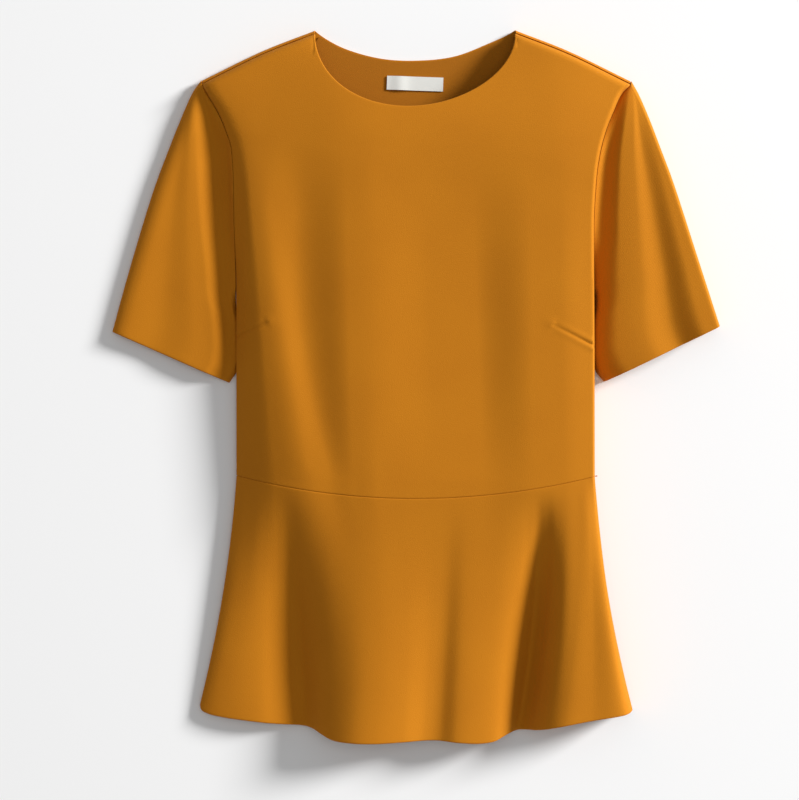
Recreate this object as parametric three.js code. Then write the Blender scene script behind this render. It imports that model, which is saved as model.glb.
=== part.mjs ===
import * as THREE from 'three';

// A peplum top with short set-in sleeves, laid out on its back. Sizes are in millimetres.
// X runs across the garment, Y from the hem to the neck, and Z up off the surface that it lies on.
// Side 'left' is the one at negative X. Each piece is one wall of cloth, worked out from a grid of
// points in the middle of the cloth.

// Cloth and seams
const CLOTH = 1.2;
const FACING_CLOTH = 1.0;
const LABEL_CLOTH = 1.0;
const SEAM_GAP = 0.3;
const EDGE_TO_EDGE = 1.2;
const FLOOR_LAYER = CLOTH / 2;

// Shoulders: the back turns over the shoulder and is sewn to the front just inside the outline.
const SHOULDER = {
  tip: { x: 193.0, y: 276.6 },
  middle: { x: 135.5, y: 304.4 },
  neck: { x: 92.0, y: 321.3 },
  foldRadius: 4,
  foldAngle: THREE.MathUtils.degToRad(150),
  slope: THREE.MathUtils.degToRad(25.5),
};

// Bodice side lines below the shoulder tip: armhole seam, armpit at y = 90, side seam, waist.
// x: seam in plan. front, back: height of each panel's edge. roll: width of the front's edge.
const TIP_X = { left: -192.9, right: 194.4 };
const TIP = { front: 8.1, back: 0.6, roll: 4 };
const SIDE_LINE = {
  left: [
    { y: 262.0, x: -187.2, front: 10, back: 0.6, roll: 5 },
    { y: 247.0, x: -178.2, front: 12.5, back: 0.6, roll: 6 },
    { y: 232.0, x: -171.5, front: 14.5, back: 0.6, roll: 7 },
    { y: 213.0, x: -165.6, front: 15.8, back: 0.6, roll: 9 },
    { y: 186.0, x: -163.9, front: 16, back: 0.6, roll: 12 },
    { y: 144.0, x: -163.2, front: 14, back: 0.6, roll: 14 },
    { y: 90.0, x: -161.8, front: 8.3, back: 6.3, roll: 13 },
    { y: 50.0, x: -161.7, front: 9.6, back: 8.8, roll: 10 },
    { y: -81.5, x: -161.7, front: 7.6, back: 6.7, roll: 8 },
  ],
  right: [
    { y: 264.0, x: 186.4, front: 12, back: 0.6, roll: 4 },
    { y: 247.0, x: 178.2, front: 16.5, back: 0.6, roll: 3.5 },
    { y: 228.0, x: 170.6, front: 20, back: 0.6, roll: 3 },
    { y: 207.0, x: 165.0, front: 22, back: 0.6, roll: 3 },
    { y: 186.0, x: 162.1, front: 21, back: 0.6, roll: 3 },
    { y: 144.0, x: 160.0, front: 18.5, back: 0.6, roll: 3 },
    { y: 90.0, x: 160.5, front: 10.5, back: 8.5, roll: 3 },
    { y: 50.0, x: 160.7, front: 12, back: 11.2, roll: 3 },
    { y: -81.5, x: 161.1, front: 9.6, back: 8.7, roll: 3 },
  ],
};
const BACK_ROLL = 22;

// Round front neckline: a half ellipse, a little fuller at the left.
const NECK_FRONT = { x: -0.5, y: 319.2, halfWidth: 91.2, depth: 67.8, fullerLeft: 0.07 };

// Back neck edge before the shoulders are turned over, from the left seam to the right one.
const NECK_BACK = [
  { x: -91.7, y: 328.6 },
  { x: -90.6, y: 322.0 },
  { x: -85.5, y: 317.3 },
  { x: -64.8, y: 305.9 },
  { x: -31.3, y: 296.6 },
  { x: 2.0, y: 294.8 },
  { x: 35.8, y: 298.7 },
  { x: 67.0, y: 310.6 },
  { x: 85.5, y: 319.2 },
  { x: 90.0, y: 323.0 },
  { x: 90.9, y: 328.6 },
];

// Waist seam: a shallow curve, lowest at the middle.
const WAIST = { y: -81.5, drop: 20, halfWidth: 161.4 };

// How the front lies: its roll at the shoulders and that roll's share of the height, the longer
// rise below it, height of the neck edge at the middle, how fast it gets there, how far below the
// neck edge the front dips to it, and how softly.
const SHOULDER_ROLL = { width: 6, share: 0.6 };
const FRONT = { riseLength: 100, neckEdge: 31, neckRise: 0.38, neckDip: 65, neckSoft: 5 };

// Soft ridges and troughs of the front, from the left side seam to the right one: x and height at
// the chest, the bust and the waist. Those from a side seam measure x from it.
const FRONT_LEVELS = { chest: 215, waist: -85 };
const FRONT_LINES = [
  { from: 'left', chestX: 0, bustX: 0, waistX: 0, chestZ: 18, bustZ: 13, waistZ: 9 },
  { from: 'left', chestX: 13, bustX: 23, waistX: 36, chestZ: 22, bustZ: 25.5, waistZ: 26 },
  { from: 'middle', chestX: -132, bustX: -122, waistX: -92, chestZ: 24.5, bustZ: 28, waistZ: 32.5 },
  { from: 'middle', chestX: -108, bustX: -103, waistX: -76, chestZ: 26.5, bustZ: 26.5, waistZ: 33 },
  { from: 'middle', chestX: -62, bustX: -60, waistX: -56, chestZ: 31, bustZ: 34, waistZ: 35 },
  { from: 'middle', chestX: -36, bustX: -36, waistX: -34, chestZ: 32.5, bustZ: 35, waistZ: 36.5 },
  { from: 'middle', chestX: 10, bustX: 12, waistX: 14, chestZ: 33.5, bustZ: 33, waistZ: 36.5 },
  { from: 'middle', chestX: 50, bustX: 55, waistX: 60, chestZ: 34.5, bustZ: 33, waistZ: 36.5 },
  { from: 'middle', chestX: 100, bustX: 103, waistX: 104, chestZ: 35.5, bustZ: 38, waistZ: 38 },
  { from: 'middle', chestX: 128, bustX: 130, waistX: 132, chestZ: 36, bustZ: 38, waistZ: 37.5 },
  { from: 'right', chestX: 0, bustX: 0, waistX: 0, chestZ: 35, bustZ: 35, waistZ: 35 },
];

// Flutes of the front peplum, from the left side seam to the right one: x at the waist, x and
// height half way down, then the place and height of the hem.
const FLUTES = [
  { waist: -161.7, middle: -173.6, middleZ: 6.2, hem: -195.0, hemY: -288.8, hemZ: 4.2 },
  { waist: -161.0, middle: -172.6, middleZ: 8.2, hem: -193.8, hemY: -293.2, hemZ: 5.6 },
  { waist: -157.0, middle: -167.5, middleZ: 10.6, hem: -187.0, hemY: -296.5, hemZ: 8 },
  { waist: -149.0, middle: -158.0, middleZ: 12.6, hem: -173.0, hemY: -299.4, hemZ: 10.5 },
  { waist: -140.0, middle: -147.0, middleZ: 13.4, hem: -155.0, hemY: -301.8, hemZ: 12.2 },
  { waist: -134.0, middle: -137.0, middleZ: 12.8, hem: -138.0, hemY: -303.9, hemZ: 12.2 },
  { waist: -128.5, middle: -129.0, middleZ: 11.2, hem: -128.0, hemY: -304.9, hemZ: 10.8 },
  { waist: -123.5, middle: -121.0, middleZ: 9.2, hem: -118.0, hemY: -305.7, hemZ: 8.6 },
  { waist: -117.0, middle: -112.0, middleZ: 7.4, hem: -107.0, hemY: -306.4, hemZ: 6.2 },
  { waist: -111.0, middle: -105.5, middleZ: 9.5, hem: -100.0, hemY: -307.2, hemZ: 7 },
  { waist: -104.5, middle: -97.5, middleZ: 15.5, hem: -93.0, hemY: -309.0, hemZ: 12.5 },
  { waist: -97.0, middle: -88.5, middleZ: 21.5, hem: -86.0, hemY: -312.5, hemZ: 20 },
  { waist: -87.0, middle: -75.0, middleZ: 28, hem: -75.0, hemY: -317.6, hemZ: 27.5 },
  { waist: -70.0, middle: -54.0, middleZ: 33.5, hem: -58.0, hemY: -319.7, hemZ: 33.5 },
  { waist: -46.0, middle: -32.0, middleZ: 34.5, hem: -38.0, hemY: -320.2, hemZ: 34.5 },
  { waist: -14.0, middle: -8.0, middleZ: 32, hem: -12.0, hemY: -319.2, hemZ: 30.5 },
  { waist: 18.0, middle: 15.0, middleZ: 27.5, hem: 8.0, hemY: -318.4, hemZ: 24 },
  { waist: 31.0, middle: 27.0, middleZ: 26.5, hem: 20.5, hemY: -318.4, hemZ: 23 },
  { waist: 46.0, middle: 41.0, middleZ: 28.5, hem: 36.0, hemY: -320.0, hemZ: 26.5 },
  { waist: 68.0, middle: 63.0, middleZ: 27, hem: 57.0, hemY: -321.1, hemZ: 25.5 },
  { waist: 84.0, middle: 79.5, middleZ: 24, hem: 71.0, hemY: -319.4, hemZ: 22.5 },
  { waist: 93.5, middle: 91.0, middleZ: 19.5, hem: 78.5, hemY: -316.0, hemZ: 18.5 },
  { waist: 101.5, middle: 100.0, middleZ: 13.5, hem: 86.0, hemY: -312.7, hemZ: 12.5 },
  { waist: 109.5, middle: 108.0, middleZ: 9, hem: 93.5, hemY: -310.6, hemZ: 7 },
  { waist: 116.5, middle: 115.0, middleZ: 15.5, hem: 100.5, hemY: -309.9, hemZ: 11.5 },
  { waist: 124.0, middle: 122.5, middleZ: 27, hem: 108.0, hemY: -309.2, hemZ: 21.5 },
  { waist: 133.0, middle: 131.5, middleZ: 35, hem: 117.5, hemY: -307.4, hemZ: 30.5 },
  { waist: 143.0, middle: 144.0, middleZ: 37.5, hem: 132.0, hemY: -304.4, hemZ: 35.5 },
  { waist: 152.5, middle: 157.5, middleZ: 37, hem: 158.0, hemY: -299.5, hemZ: 34.5 },
  { waist: 160.0, middle: 170.0, middleZ: 35.5, hem: 187.5, hemY: -294.7, hemZ: 31.5 },
  { waist: 161.0, middle: 172.4, middleZ: 24, hem: 194.5, hemY: -292.4, hemZ: 20 },
  { waist: 161.1, middle: 172.6, middleZ: 9.8, hem: 195.2, hemY: -291.4, hemZ: 5.2 },
];
// How slowly the flutes deepen below the waist seam
const FLUTE_EASE = 1.3;
const BACK_HEM = { y: -289, drop: 15, sideHeight: 3, ease: 0.8 };

// Sleeves. outer: the folded outer edge from the shoulder to the cuff. under: the underarm seam
// from the armpit to the cuff, where the sleeve is tucked beside the body.
const SLEEVE_EDGE = {
  left: {
    outer: [
      { x: -193.9, y: 275.9 },
      { x: -201.0, y: 266.2 },
      { x: -212.0, y: 242.0 },
      { x: -223.6, y: 212.9 },
      { x: -237.0, y: 176.7 },
      { x: -259.0, y: 104.3 },
      { x: -274.2, y: 49.3 },
    ],
    under: [
      { x: -163.4, y: 80, z: 4.6 },
      { x: -163.0, y: 70, z: 2.1 },
      { x: -160.4, y: 55, z: 2.1 },
      { x: -159.6, y: 30, z: 2.1 },
      { x: -162.6, y: 13, z: 2.1 },
      { x: -168.8, y: 3.0, z: 2.1 },
    ],
  },
  right: {
    outer: [
      { x: 195.4, y: 275.2 },
      { x: 201.4, y: 264.0 },
      { x: 211.4, y: 240.0 },
      { x: 221.6, y: 212.9 },
      { x: 231.8, y: 185.8 },
      { x: 255.2, y: 113.4 },
      { x: 274.2, y: 54.2 },
    ],
    under: [
      { x: 162.4, y: 80, z: 4.6 },
      { x: 162.0, y: 70, z: 2.1 },
      { x: 159.4, y: 55, z: 2.1 },
      { x: 159.0, y: 30, z: 2.1 },
      { x: 163.8, y: 13, z: 2.1 },
      { x: 171.0, y: 3.9, z: 2.1 },
    ],
  },
};

// Folds of each sleeve, from the armhole seam out to the folded edge: place across the sleeve
// (0 at the seam, 1 at the outer edge) and height, at the cap and at the cuff.
const SLEEVE_FOLDS = {
  left: [
    { capAt: 0.14, capZ: 12, cuffAt: 0.02, cuffZ: 4.6 },
    { capAt: 0.46, capZ: 5.2, cuffAt: 0.06, cuffZ: 4.6 },
    { capAt: 0.88, capZ: 10.5, cuffAt: 0.21, cuffZ: 10.5 },
    { capAt: 0.92, capZ: 11, cuffAt: 0.36, cuffZ: 10.5 },
    { capAt: 0.95, capZ: 11, cuffAt: 0.64, cuffZ: 8.6 },
    { capAt: 0.98, capZ: 10.8, cuffAt: 0.88, cuffZ: 9.8 },
  ],
  right: [
    { capAt: 0.2, capZ: 22, cuffAt: 0.02, cuffZ: 11 },
    { capAt: 0.48, capZ: 27, cuffAt: 0.2, cuffZ: 22 },
    { capAt: 0.64, capZ: 26.5, cuffAt: 0.42, cuffZ: 24 },
    { capAt: 0.76, capZ: 25, cuffAt: 0.64, cuffZ: 20.5 },
    { capAt: 0.9, capZ: 23.5, cuffAt: 0.86, cuffZ: 27.5 },
  ],
};
const SLEEVE = {
  edgeHeight: 4.3,
  frontRoll: { left: 14, right: 4 },
  widestFrontRoll: 0.6,
  backRoll: 5,
  widestBackRoll: 0.5,
  backLift: 0.3,
  capLength: 0.3,
  foldEase: 1.7,
};

// Steps of a sleeve's edges off the armhole line, in cloths beyond the seam gap: the front one, and
// the back one where it lies flat and where the back of the body is lifted
const ARMHOLE_STEP = { front: 0.75, back: 0.1, backLifted: 0.6, fullLift: 2 * CLOTH };

// from: where the facing starts along the neck edge, as a share of it
const FACING = { depth: 50, top: 1.5, from: 0.24 };
const LABEL = { x: -0.4, y: 273.6, width: 51, depth: 12.6, turn: -0.035 };
const LABEL_RIPPLE = { height: 0.9, at: -14, width: 7 };

// Rows of the grids: y at the side line, shared by bodice and sleeves down to the armpit
const ARMHOLE_ROWS = [267, 259, 250, 240, 228, 214, 198, 180, 160, 140, 122, 105, 90];
const SIDE_ROWS = [70, 48, 24, -2, -28, -52, -70];

// Columns and rows of the other grids, and the share of each panel that turns at its sides
const ROLL_STEPS = 3;
const ROLL_SHARE = { front: 0.044, back: 0.068, peplumBack: 0.062 };
const SHOULDER_ROWS = [1, 0.67, 0.33, 0];
const NECK_SHARE = 0.27;
const FRONT_COLUMNS = { shoulder: 6, neck: 14 };
const BACK_COLUMNS = { shoulder: 3, neck: 9, peplum: 12 };
const PEPLUM_ROWS = { front: 11, back: 7 };
const STEPS_PER_FLUTE = 2;
const SLEEVE_COLUMNS = { front: 11, back: 4 };
const FACING_GRID = { rows: 4, columns: 14 };
const LABEL_GRID = { rows: 3, columns: 14 };

const OCHRE = new THREE.MeshStandardMaterial({ color: '#bf751c', roughness: 0.85, metalness: 0 });
const OCHRE_INSIDE = new THREE.MeshStandardMaterial({ color: '#a25c11', roughness: 0.9, metalness: 0 });
const OFF_WHITE = new THREE.MeshStandardMaterial({ color: '#e1e2dc', roughness: 0.7, metalness: 0 });

const { clamp, lerp } = THREE.MathUtils;
const vector = (x, y, z) => new THREE.Vector3(x, y, z);
const steps = (count) => Array.from({ length: count + 1 }, (_, index) => index / count);

// Smooth curve through a table's rows that never swings past them: one column in, another out.
function smooth(rows, key, value) {
  const sorted = [...rows].sort((first, second) => first[key] - second[key]);
  const at = sorted.map((row) => row[key]);
  const to = sorted.map((row) => row[value]);
  const rate = at.slice(1).map((end, index) => (to[index + 1] - to[index]) / (end - at[index]));
  const slope = at.map((_, index) => {
    const before = rate[Math.max(index - 1, 0)];
    const after = rate[Math.min(index, rate.length - 1)];
    return before * after > 0 ? (2 * before * after) / (before + after) : 0;
  });
  return (wanted) => {
    const place = clamp(wanted, at[0], at[at.length - 1]);
    const index = clamp(at.findIndex((end) => end >= place) - 1, 0, rate.length - 1);
    const length = at[index + 1] - at[index];
    const t = (place - at[index]) / length;
    const bend = t * t * (3 - 2 * t);
    const leave = length * slope[index] * t * (1 - t) ** 2;
    const arrive = length * slope[index + 1] * t * t * (1 - t);
    return lerp(to[index], to[index + 1], bend) + leave - arrive;
  };
}

// Closed wall of cloth around a grid of rows of points in the middle of the cloth.
function clothWall(grid, thickness) {
  const rowCount = grid.length;
  const columnCount = grid[0].length;
  const normalAt = (row, column) => {
    const up = grid[Math.max(row - 1, 0)][column];
    const down = grid[Math.min(row + 1, rowCount - 1)][column];
    const left = grid[row][Math.max(column - 1, 0)];
    const right = grid[row][Math.min(column + 1, columnCount - 1)];
    return right.clone().sub(left).cross(up.clone().sub(down)).normalize();
  };
  const positions = [];
  for (const offset of [thickness / 2, -thickness / 2]) {
    grid.forEach((row, rowIndex) => {
      row.forEach((point, columnIndex) => {
        const moved = point.clone().addScaledVector(normalAt(rowIndex, columnIndex), offset);
        positions.push(moved.x, moved.y, moved.z);
      });
    });
  }
  const layer = rowCount * columnCount;
  const outer = (row, column) => row * columnCount + column;
  const inner = (row, column) => layer + outer(row, column);
  const indices = [];
  const addQuad = (a, b, c, d) => indices.push(a, b, c, a, c, d);
  for (let row = 0; row < rowCount - 1; row += 1) {
    for (let column = 0; column < columnCount - 1; column += 1) {
      const next = column + 1;
      addQuad(outer(row + 1, column), outer(row + 1, next), outer(row, next), outer(row, column));
      addQuad(inner(row, column), inner(row, next), inner(row + 1, next), inner(row + 1, column));
    }
  }
  const lastRow = rowCount - 1;
  const lastColumn = columnCount - 1;
  for (let column = 0; column < lastColumn; column += 1) {
    const next = column + 1;
    addQuad(outer(0, column), outer(0, next), inner(0, next), inner(0, column));
    addQuad(inner(lastRow, column), inner(lastRow, next), outer(lastRow, next), outer(lastRow, column));
  }
  for (let row = 0; row < lastRow; row += 1) {
    const next = row + 1;
    addQuad(outer(next, 0), outer(row, 0), inner(row, 0), inner(next, 0));
    addQuad(outer(row, lastColumn), outer(next, lastColumn), inner(next, lastColumn), inner(row, lastColumn));
  }
  const geometry = new THREE.BufferGeometry();
  geometry.setAttribute('position', new THREE.Float32BufferAttribute(positions, 3));
  geometry.setIndex(indices);
  geometry.computeVertexNormals();
  return geometry;
}

const waistY = (x) => WAIST.y - WAIST.drop * (1 - Math.min((x / WAIST.halfWidth) ** 2, 1));

// Quarter circle rise: upright at 0, level from 1 on
const quarter = (share) => Math.sqrt(1 - (1 - clamp(share, 0, 1)) ** 2);

// Outline of the shoulder as seen from above, and the line where the back starts to turn over
const shoulderOutline = smooth([SHOULDER.tip, SHOULDER.middle, SHOULDER.neck], 'x', 'y');
function shoulderLineY(x) {
  const reach = Math.abs(x);
  const beyond = reach - clamp(reach, SHOULDER.neck.x, SHOULDER.tip.x);
  return shoulderOutline(reach) - beyond * Math.tan(SHOULDER.slope);
}
const foldLineY = (x) => shoulderLineY(x) - (SHOULDER.foldRadius + CLOTH / 2) / Math.cos(SHOULDER.slope);
const foldLength = SHOULDER.foldRadius * SHOULDER.foldAngle / Math.cos(SHOULDER.slope);

// Front edge of the shoulder seam, a little inside the outline
const seamInside = SHOULDER.foldRadius * (1 - Math.sin(SHOULDER.foldAngle)) + CLOTH / 2 + EDGE_TO_EDGE;
const frontShoulderY = (x) => shoulderLineY(x) - seamInside / Math.cos(SHOULDER.slope);

// Side lines as functions of y, from the end of the shoulder seam down
function sideLine(side) {
  const table = [{ y: frontShoulderY(TIP_X[side]), x: TIP_X[side], ...TIP }, ...SIDE_LINE[side]];
  return {
    x: smooth(table, 'y', 'x'),
    front: smooth(table, 'y', 'front'),
    back: smooth(table, 'y', 'back'),
    roll: smooth(table, 'y', 'roll'),
    tipX: TIP_X[side],
  };
}
const LEFT = sideLine('left');
const RIGHT = sideLine('right');

// Keeps the neck's middle point from being divided by nothing
const SMALLEST_REACH = 0.01;

// Place along a line through three values, at 0, one half and 1
const throughThree = (start, middle, end, share) =>
  start * (1 - share) * (1 - 2 * share) + 4 * middle * share * (1 - share) + end * share * (2 * share - 1);

// Height of the front panel away from its edges, across its ridges and troughs
function fullness(x, y) {
  const down = clamp((FRONT_LEVELS.chest - y) / (FRONT_LEVELS.chest - FRONT_LEVELS.waist), 0, 1);
  const start = { left: LEFT.x(y), middle: 0, right: RIGHT.x(y) };
  const section = FRONT_LINES.map((line) => ({
    x: start[line.from] + throughThree(line.chestX, line.bustX, line.waistX, down),
    z: throughThree(line.chestZ, line.bustZ, line.waistZ, down),
  }));
  return smooth(section, 'x', 'z')(x);
}

// Height of the front panel: down to the seam at the shoulders and the sides, dipping to the neck
function frontHeight(x, y) {
  const belowShoulder = (frontShoulderY(x) - y) * Math.cos(SHOULDER.slope);
  const rolled = quarter(belowShoulder / SHOULDER_ROLL.width);
  const risen = Math.sin(clamp(belowShoulder / FRONT.riseLength, 0, 1) * Math.PI / 2);
  const domed = lerp(TIP.front, fullness(x, y), lerp(risen, rolled, SHOULDER_ROLL.share));

  const aside = (x - NECK_FRONT.x) / NECK_FRONT.halfWidth;
  const below = Math.max(NECK_FRONT.y - y, 0) / NECK_FRONT.depth;
  const reach = Math.max(Math.hypot(aside, below), SMALLEST_REACH);
  const neckEdge = lerp(TIP.front, FRONT.neckEdge, (below / reach) ** FRONT.neckRise);
  const outside = (reach - 1) * NECK_FRONT.depth / FRONT.neckDip;
  const over = domed - neckEdge;
  const dip = (over + Math.hypot(over, FRONT.neckSoft * rolled)) / 2;
  const open = domed - dip * (1 - clamp(outside, 0, 1)) ** 2;

  const line = x < 0 ? LEFT : RIGHT;
  const inside = Math.abs(line.x(y)) - Math.abs(x);
  return lerp(line.front(y), open, quarter(inside / line.roll(y)));
}

// Grid between four edges: top and bottom as functions of the share across, left and right as
// lists with a point for each row.
function gridBetween(top, bottom, left, right, across) {
  const last = left.length - 1;
  return left.map((leftPoint, row) => {
    const rightPoint = right[row];
    const down = (left[0].y - leftPoint.y) / (left[0].y - left[last].y);
    const leftBow = leftPoint.clone().sub(left[0].clone().lerp(left[last], down));
    const rightBow = rightPoint.clone().sub(right[0].clone().lerp(right[last], down));
    return across.map((share) => top(share).lerp(bottom(share), down)
      .addScaledVector(leftBow, 1 - share)
      .addScaledVector(rightBow, share));
  });
}

// Shares across a panel: close together where the sides turn, then even between the marks
function shares(rollShare, marks, counts) {
  const turn = steps(ROLL_STEPS).map((step) => rollShare * (1 - Math.cos(step * Math.PI / 2)));
  const stops = [rollShare, ...marks, 1 - rollShare];
  const middle = counts.flatMap((count, index) => (
    steps(count).slice(1).map((step) => lerp(stops[index], stops[index + 1], step))));
  return [...turn, ...middle.slice(0, -1), ...turn.map((share) => 1 - share).reverse()];
}

const neckShare = (across) => (across - NECK_SHARE) / (1 - 2 * NECK_SHARE);

// Edge in three runs: left shoulder, neck, right shoulder
function topEdge(shoulderPoint, neckPoint, leftNeckX, rightNeckX) {
  return (across) => {
    if (across < NECK_SHARE) return shoulderPoint(lerp(LEFT.tipX, leftNeckX, across / NECK_SHARE));
    if (across > 1 - NECK_SHARE) {
      return shoulderPoint(lerp(RIGHT.tipX, rightNeckX, (1 - across) / NECK_SHARE));
    }
    return neckPoint(neckShare(across));
  };
}

const edgePoints = (line, rows) => rows.map((y) => vector(line.x(y), y, 0));

function bodiceFront() {
  const shoulderPoint = (x) => vector(x, frontShoulderY(x), 0);
  const leftNeckX = NECK_FRONT.x - NECK_FRONT.halfWidth;
  const rightNeckX = NECK_FRONT.x + NECK_FRONT.halfWidth;
  const neckPoint = (share) => {
    const angle = Math.acos(1 - 2 * share);
    const depth = NECK_FRONT.depth * Math.sin(angle) * (1 + NECK_FRONT.fullerLeft * Math.cos(angle));
    const ends = lerp(frontShoulderY(leftNeckX), frontShoulderY(rightNeckX), share);
    const x = NECK_FRONT.x - NECK_FRONT.halfWidth * Math.cos(angle);
    return vector(x, ends - depth, 0);
  };
  const bottomY = WAIST.y + SEAM_GAP;
  const bottom = (across) => {
    const x = lerp(LEFT.x(WAIST.y), RIGHT.x(WAIST.y), across);
    return vector(x, waistY(x) + SEAM_GAP, 0);
  };
  const top = topEdge(shoulderPoint, neckPoint, leftNeckX, rightNeckX);
  const left = edgePoints(LEFT, [frontShoulderY(LEFT.tipX), ...ARMHOLE_ROWS, ...SIDE_ROWS, bottomY]);
  const right = edgePoints(RIGHT, [frontShoulderY(RIGHT.tipX), ...ARMHOLE_ROWS, ...SIDE_ROWS, bottomY]);
  const across = shares(ROLL_SHARE.front, [NECK_SHARE, 1 - NECK_SHARE],
    [FRONT_COLUMNS.shoulder, FRONT_COLUMNS.neck, FRONT_COLUMNS.shoulder]);
  const grid = gridBetween(top, bottom, left, right, across);
  grid.flat().forEach((point) => point.setZ(frontHeight(point.x, point.y)));
  return clothWall(grid, CLOTH);
}

// Point of the back, at a height above its middle layer: flat, turned up at the sides and over
// the shoulders.
function backPoint(x, y, above = 0) {
  const line = x < 0 ? LEFT : RIGHT;
  const inside = Math.abs(line.x(y)) - Math.abs(x);
  const lift = (line.back(y) - FLOOR_LAYER) * (1 - quarter(inside / BACK_ROLL));
  const foldY = foldLineY(x);
  const past = Math.max(y - foldY, 0) * Math.cos(SHOULDER.slope);
  const angle = past / SHOULDER.foldRadius;
  const radius = SHOULDER.foldRadius - above;
  const turnedY = past > 0 ? foldY + radius * Math.sin(angle) / Math.cos(SHOULDER.slope) : y;
  const height = past > 0 ? above + radius * (1 - Math.cos(angle)) : above + lift;
  return vector(x, turnedY, FLOOR_LAYER + height);
}

const backNeckCurve = new THREE.CatmullRomCurve3(
  NECK_BACK.map((row) => vector(row.x, row.y, 0)), false, 'centripetal');

function bodiceBack() {
  const shoulderPoint = (x) => vector(x, foldLineY(x) + foldLength, 0);
  const neckPoint = (share) => backNeckCurve.getPoint(share);
  const top = topEdge(shoulderPoint, neckPoint, NECK_BACK[0].x, NECK_BACK[NECK_BACK.length - 1].x);
  const bottomY = WAIST.y + SEAM_GAP;
  const bottom = (across) => vector(lerp(LEFT.x(WAIST.y), RIGHT.x(WAIST.y), across), bottomY, 0);
  const sideRows = (line) => {
    const turned = SHOULDER_ROWS.map((share) => foldLineY(line.tipX) + share * foldLength);
    return [...turned, ...ARMHOLE_ROWS, ...SIDE_ROWS, bottomY];
  };
  const across = shares(ROLL_SHARE.back, [NECK_SHARE, 1 - NECK_SHARE],
    [BACK_COLUMNS.shoulder, BACK_COLUMNS.neck, BACK_COLUMNS.shoulder]);
  const left = edgePoints(LEFT, sideRows(LEFT));
  const right = edgePoints(RIGHT, sideRows(RIGHT));
  const grid = gridBetween(top, bottom, left, right, across);
  return clothWall(grid.map((row) => row.map((point) => backPoint(point.x, point.y))), CLOTH);
}

function peplumFront() {
  const grid = steps(PEPLUM_ROWS.front).map((down) => {
    const stations = FLUTES.map((flute) => {
      const topY = waistY(flute.waist) - SEAM_GAP;
      const topZ = frontHeight(flute.waist, topY);
      const x = throughThree(flute.waist, flute.middle, flute.hem, down);
      const z = throughThree(topZ, flute.middleZ, flute.hemZ, down ** FLUTE_EASE);
      return vector(x, lerp(topY, flute.hemY, down), z);
    });
    const curve = new THREE.CatmullRomCurve3(stations, false, 'centripetal');
    return curve.getPoints((FLUTES.length - 1) * STEPS_PER_FLUTE);
  });
  return clothWall(grid, CLOTH);
}

function peplumBack() {
  const first = FLUTES[0];
  const last = FLUTES[FLUTES.length - 1];
  const across = shares(ROLL_SHARE.peplumBack, [], [BACK_COLUMNS.peplum]);
  const grid = steps(PEPLUM_ROWS.back).map((down) => {
    const left = throughThree(first.waist, first.middle, first.hem, down);
    const right = throughThree(last.waist, last.middle, last.hem, down);
    const sideHeight = lerp(LEFT.back(WAIST.y), BACK_HEM.sideHeight, down ** BACK_HEM.ease);
    return across.map((share) => {
      const x = lerp(left, right, share);
      const inside = Math.min(x - left, right - x);
      const hemY = BACK_HEM.y - BACK_HEM.drop * Math.sqrt(Math.sin(share * Math.PI));
      const y = lerp(WAIST.y - SEAM_GAP, hemY, down);
      return vector(x, y, lerp(sideHeight, FLOOR_LAYER, quarter(inside / BACK_ROLL)));
    });
  });
  return clothWall(grid, CLOTH);
}

// Edges of a sleeve, row by row: the front and back edges at the armhole and the underarm seam,
// and how far down the sleeve each row is.
function sleeveEdges(side) {
  const line = side === 'left' ? LEFT : RIGHT;
  const sign = Math.sign(line.tipX);
  const beside = (y, step) => {
    const outward = vector(sign, -sign * (line.x(y + 1) - line.x(y - 1)) / 2, 0).normalize();
    return vector(line.x(y), y, 0).addScaledVector(outward, step);
  };
  const rows = [frontShoulderY(line.tipX), ...ARMHOLE_ROWS].map((y, index) => {
    const backY = index === 0 ? foldLineY(line.tipX) : y;
    const lifted = clamp((line.back(backY) - FLOOR_LAYER) / ARMHOLE_STEP.fullLift, 0, 1);
    const backStep = ARMHOLE_STEP.back + lifted * ARMHOLE_STEP.backLifted;
    const front = beside(y, SEAM_GAP + ARMHOLE_STEP.front * CLOTH).setZ(line.front(y));
    const back = beside(backY, SEAM_GAP + backStep * CLOTH).setZ(line.back(backY));
    return { front, back };
  });
  SLEEVE_EDGE[side].under.forEach(({ x, y, z }) => {
    rows.push({ front: vector(x, y, z), back: vector(x, y, z - CLOTH - SEAM_GAP) });
  });
  let length = 0;
  rows.forEach((row, index) => {
    length += index > 0 ? row.front.distanceTo(rows[index - 1].front) : 0;
    row.run = length;
  });
  return rows.map((row) => ({ ...row, down: row.run / length }));
}

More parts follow.
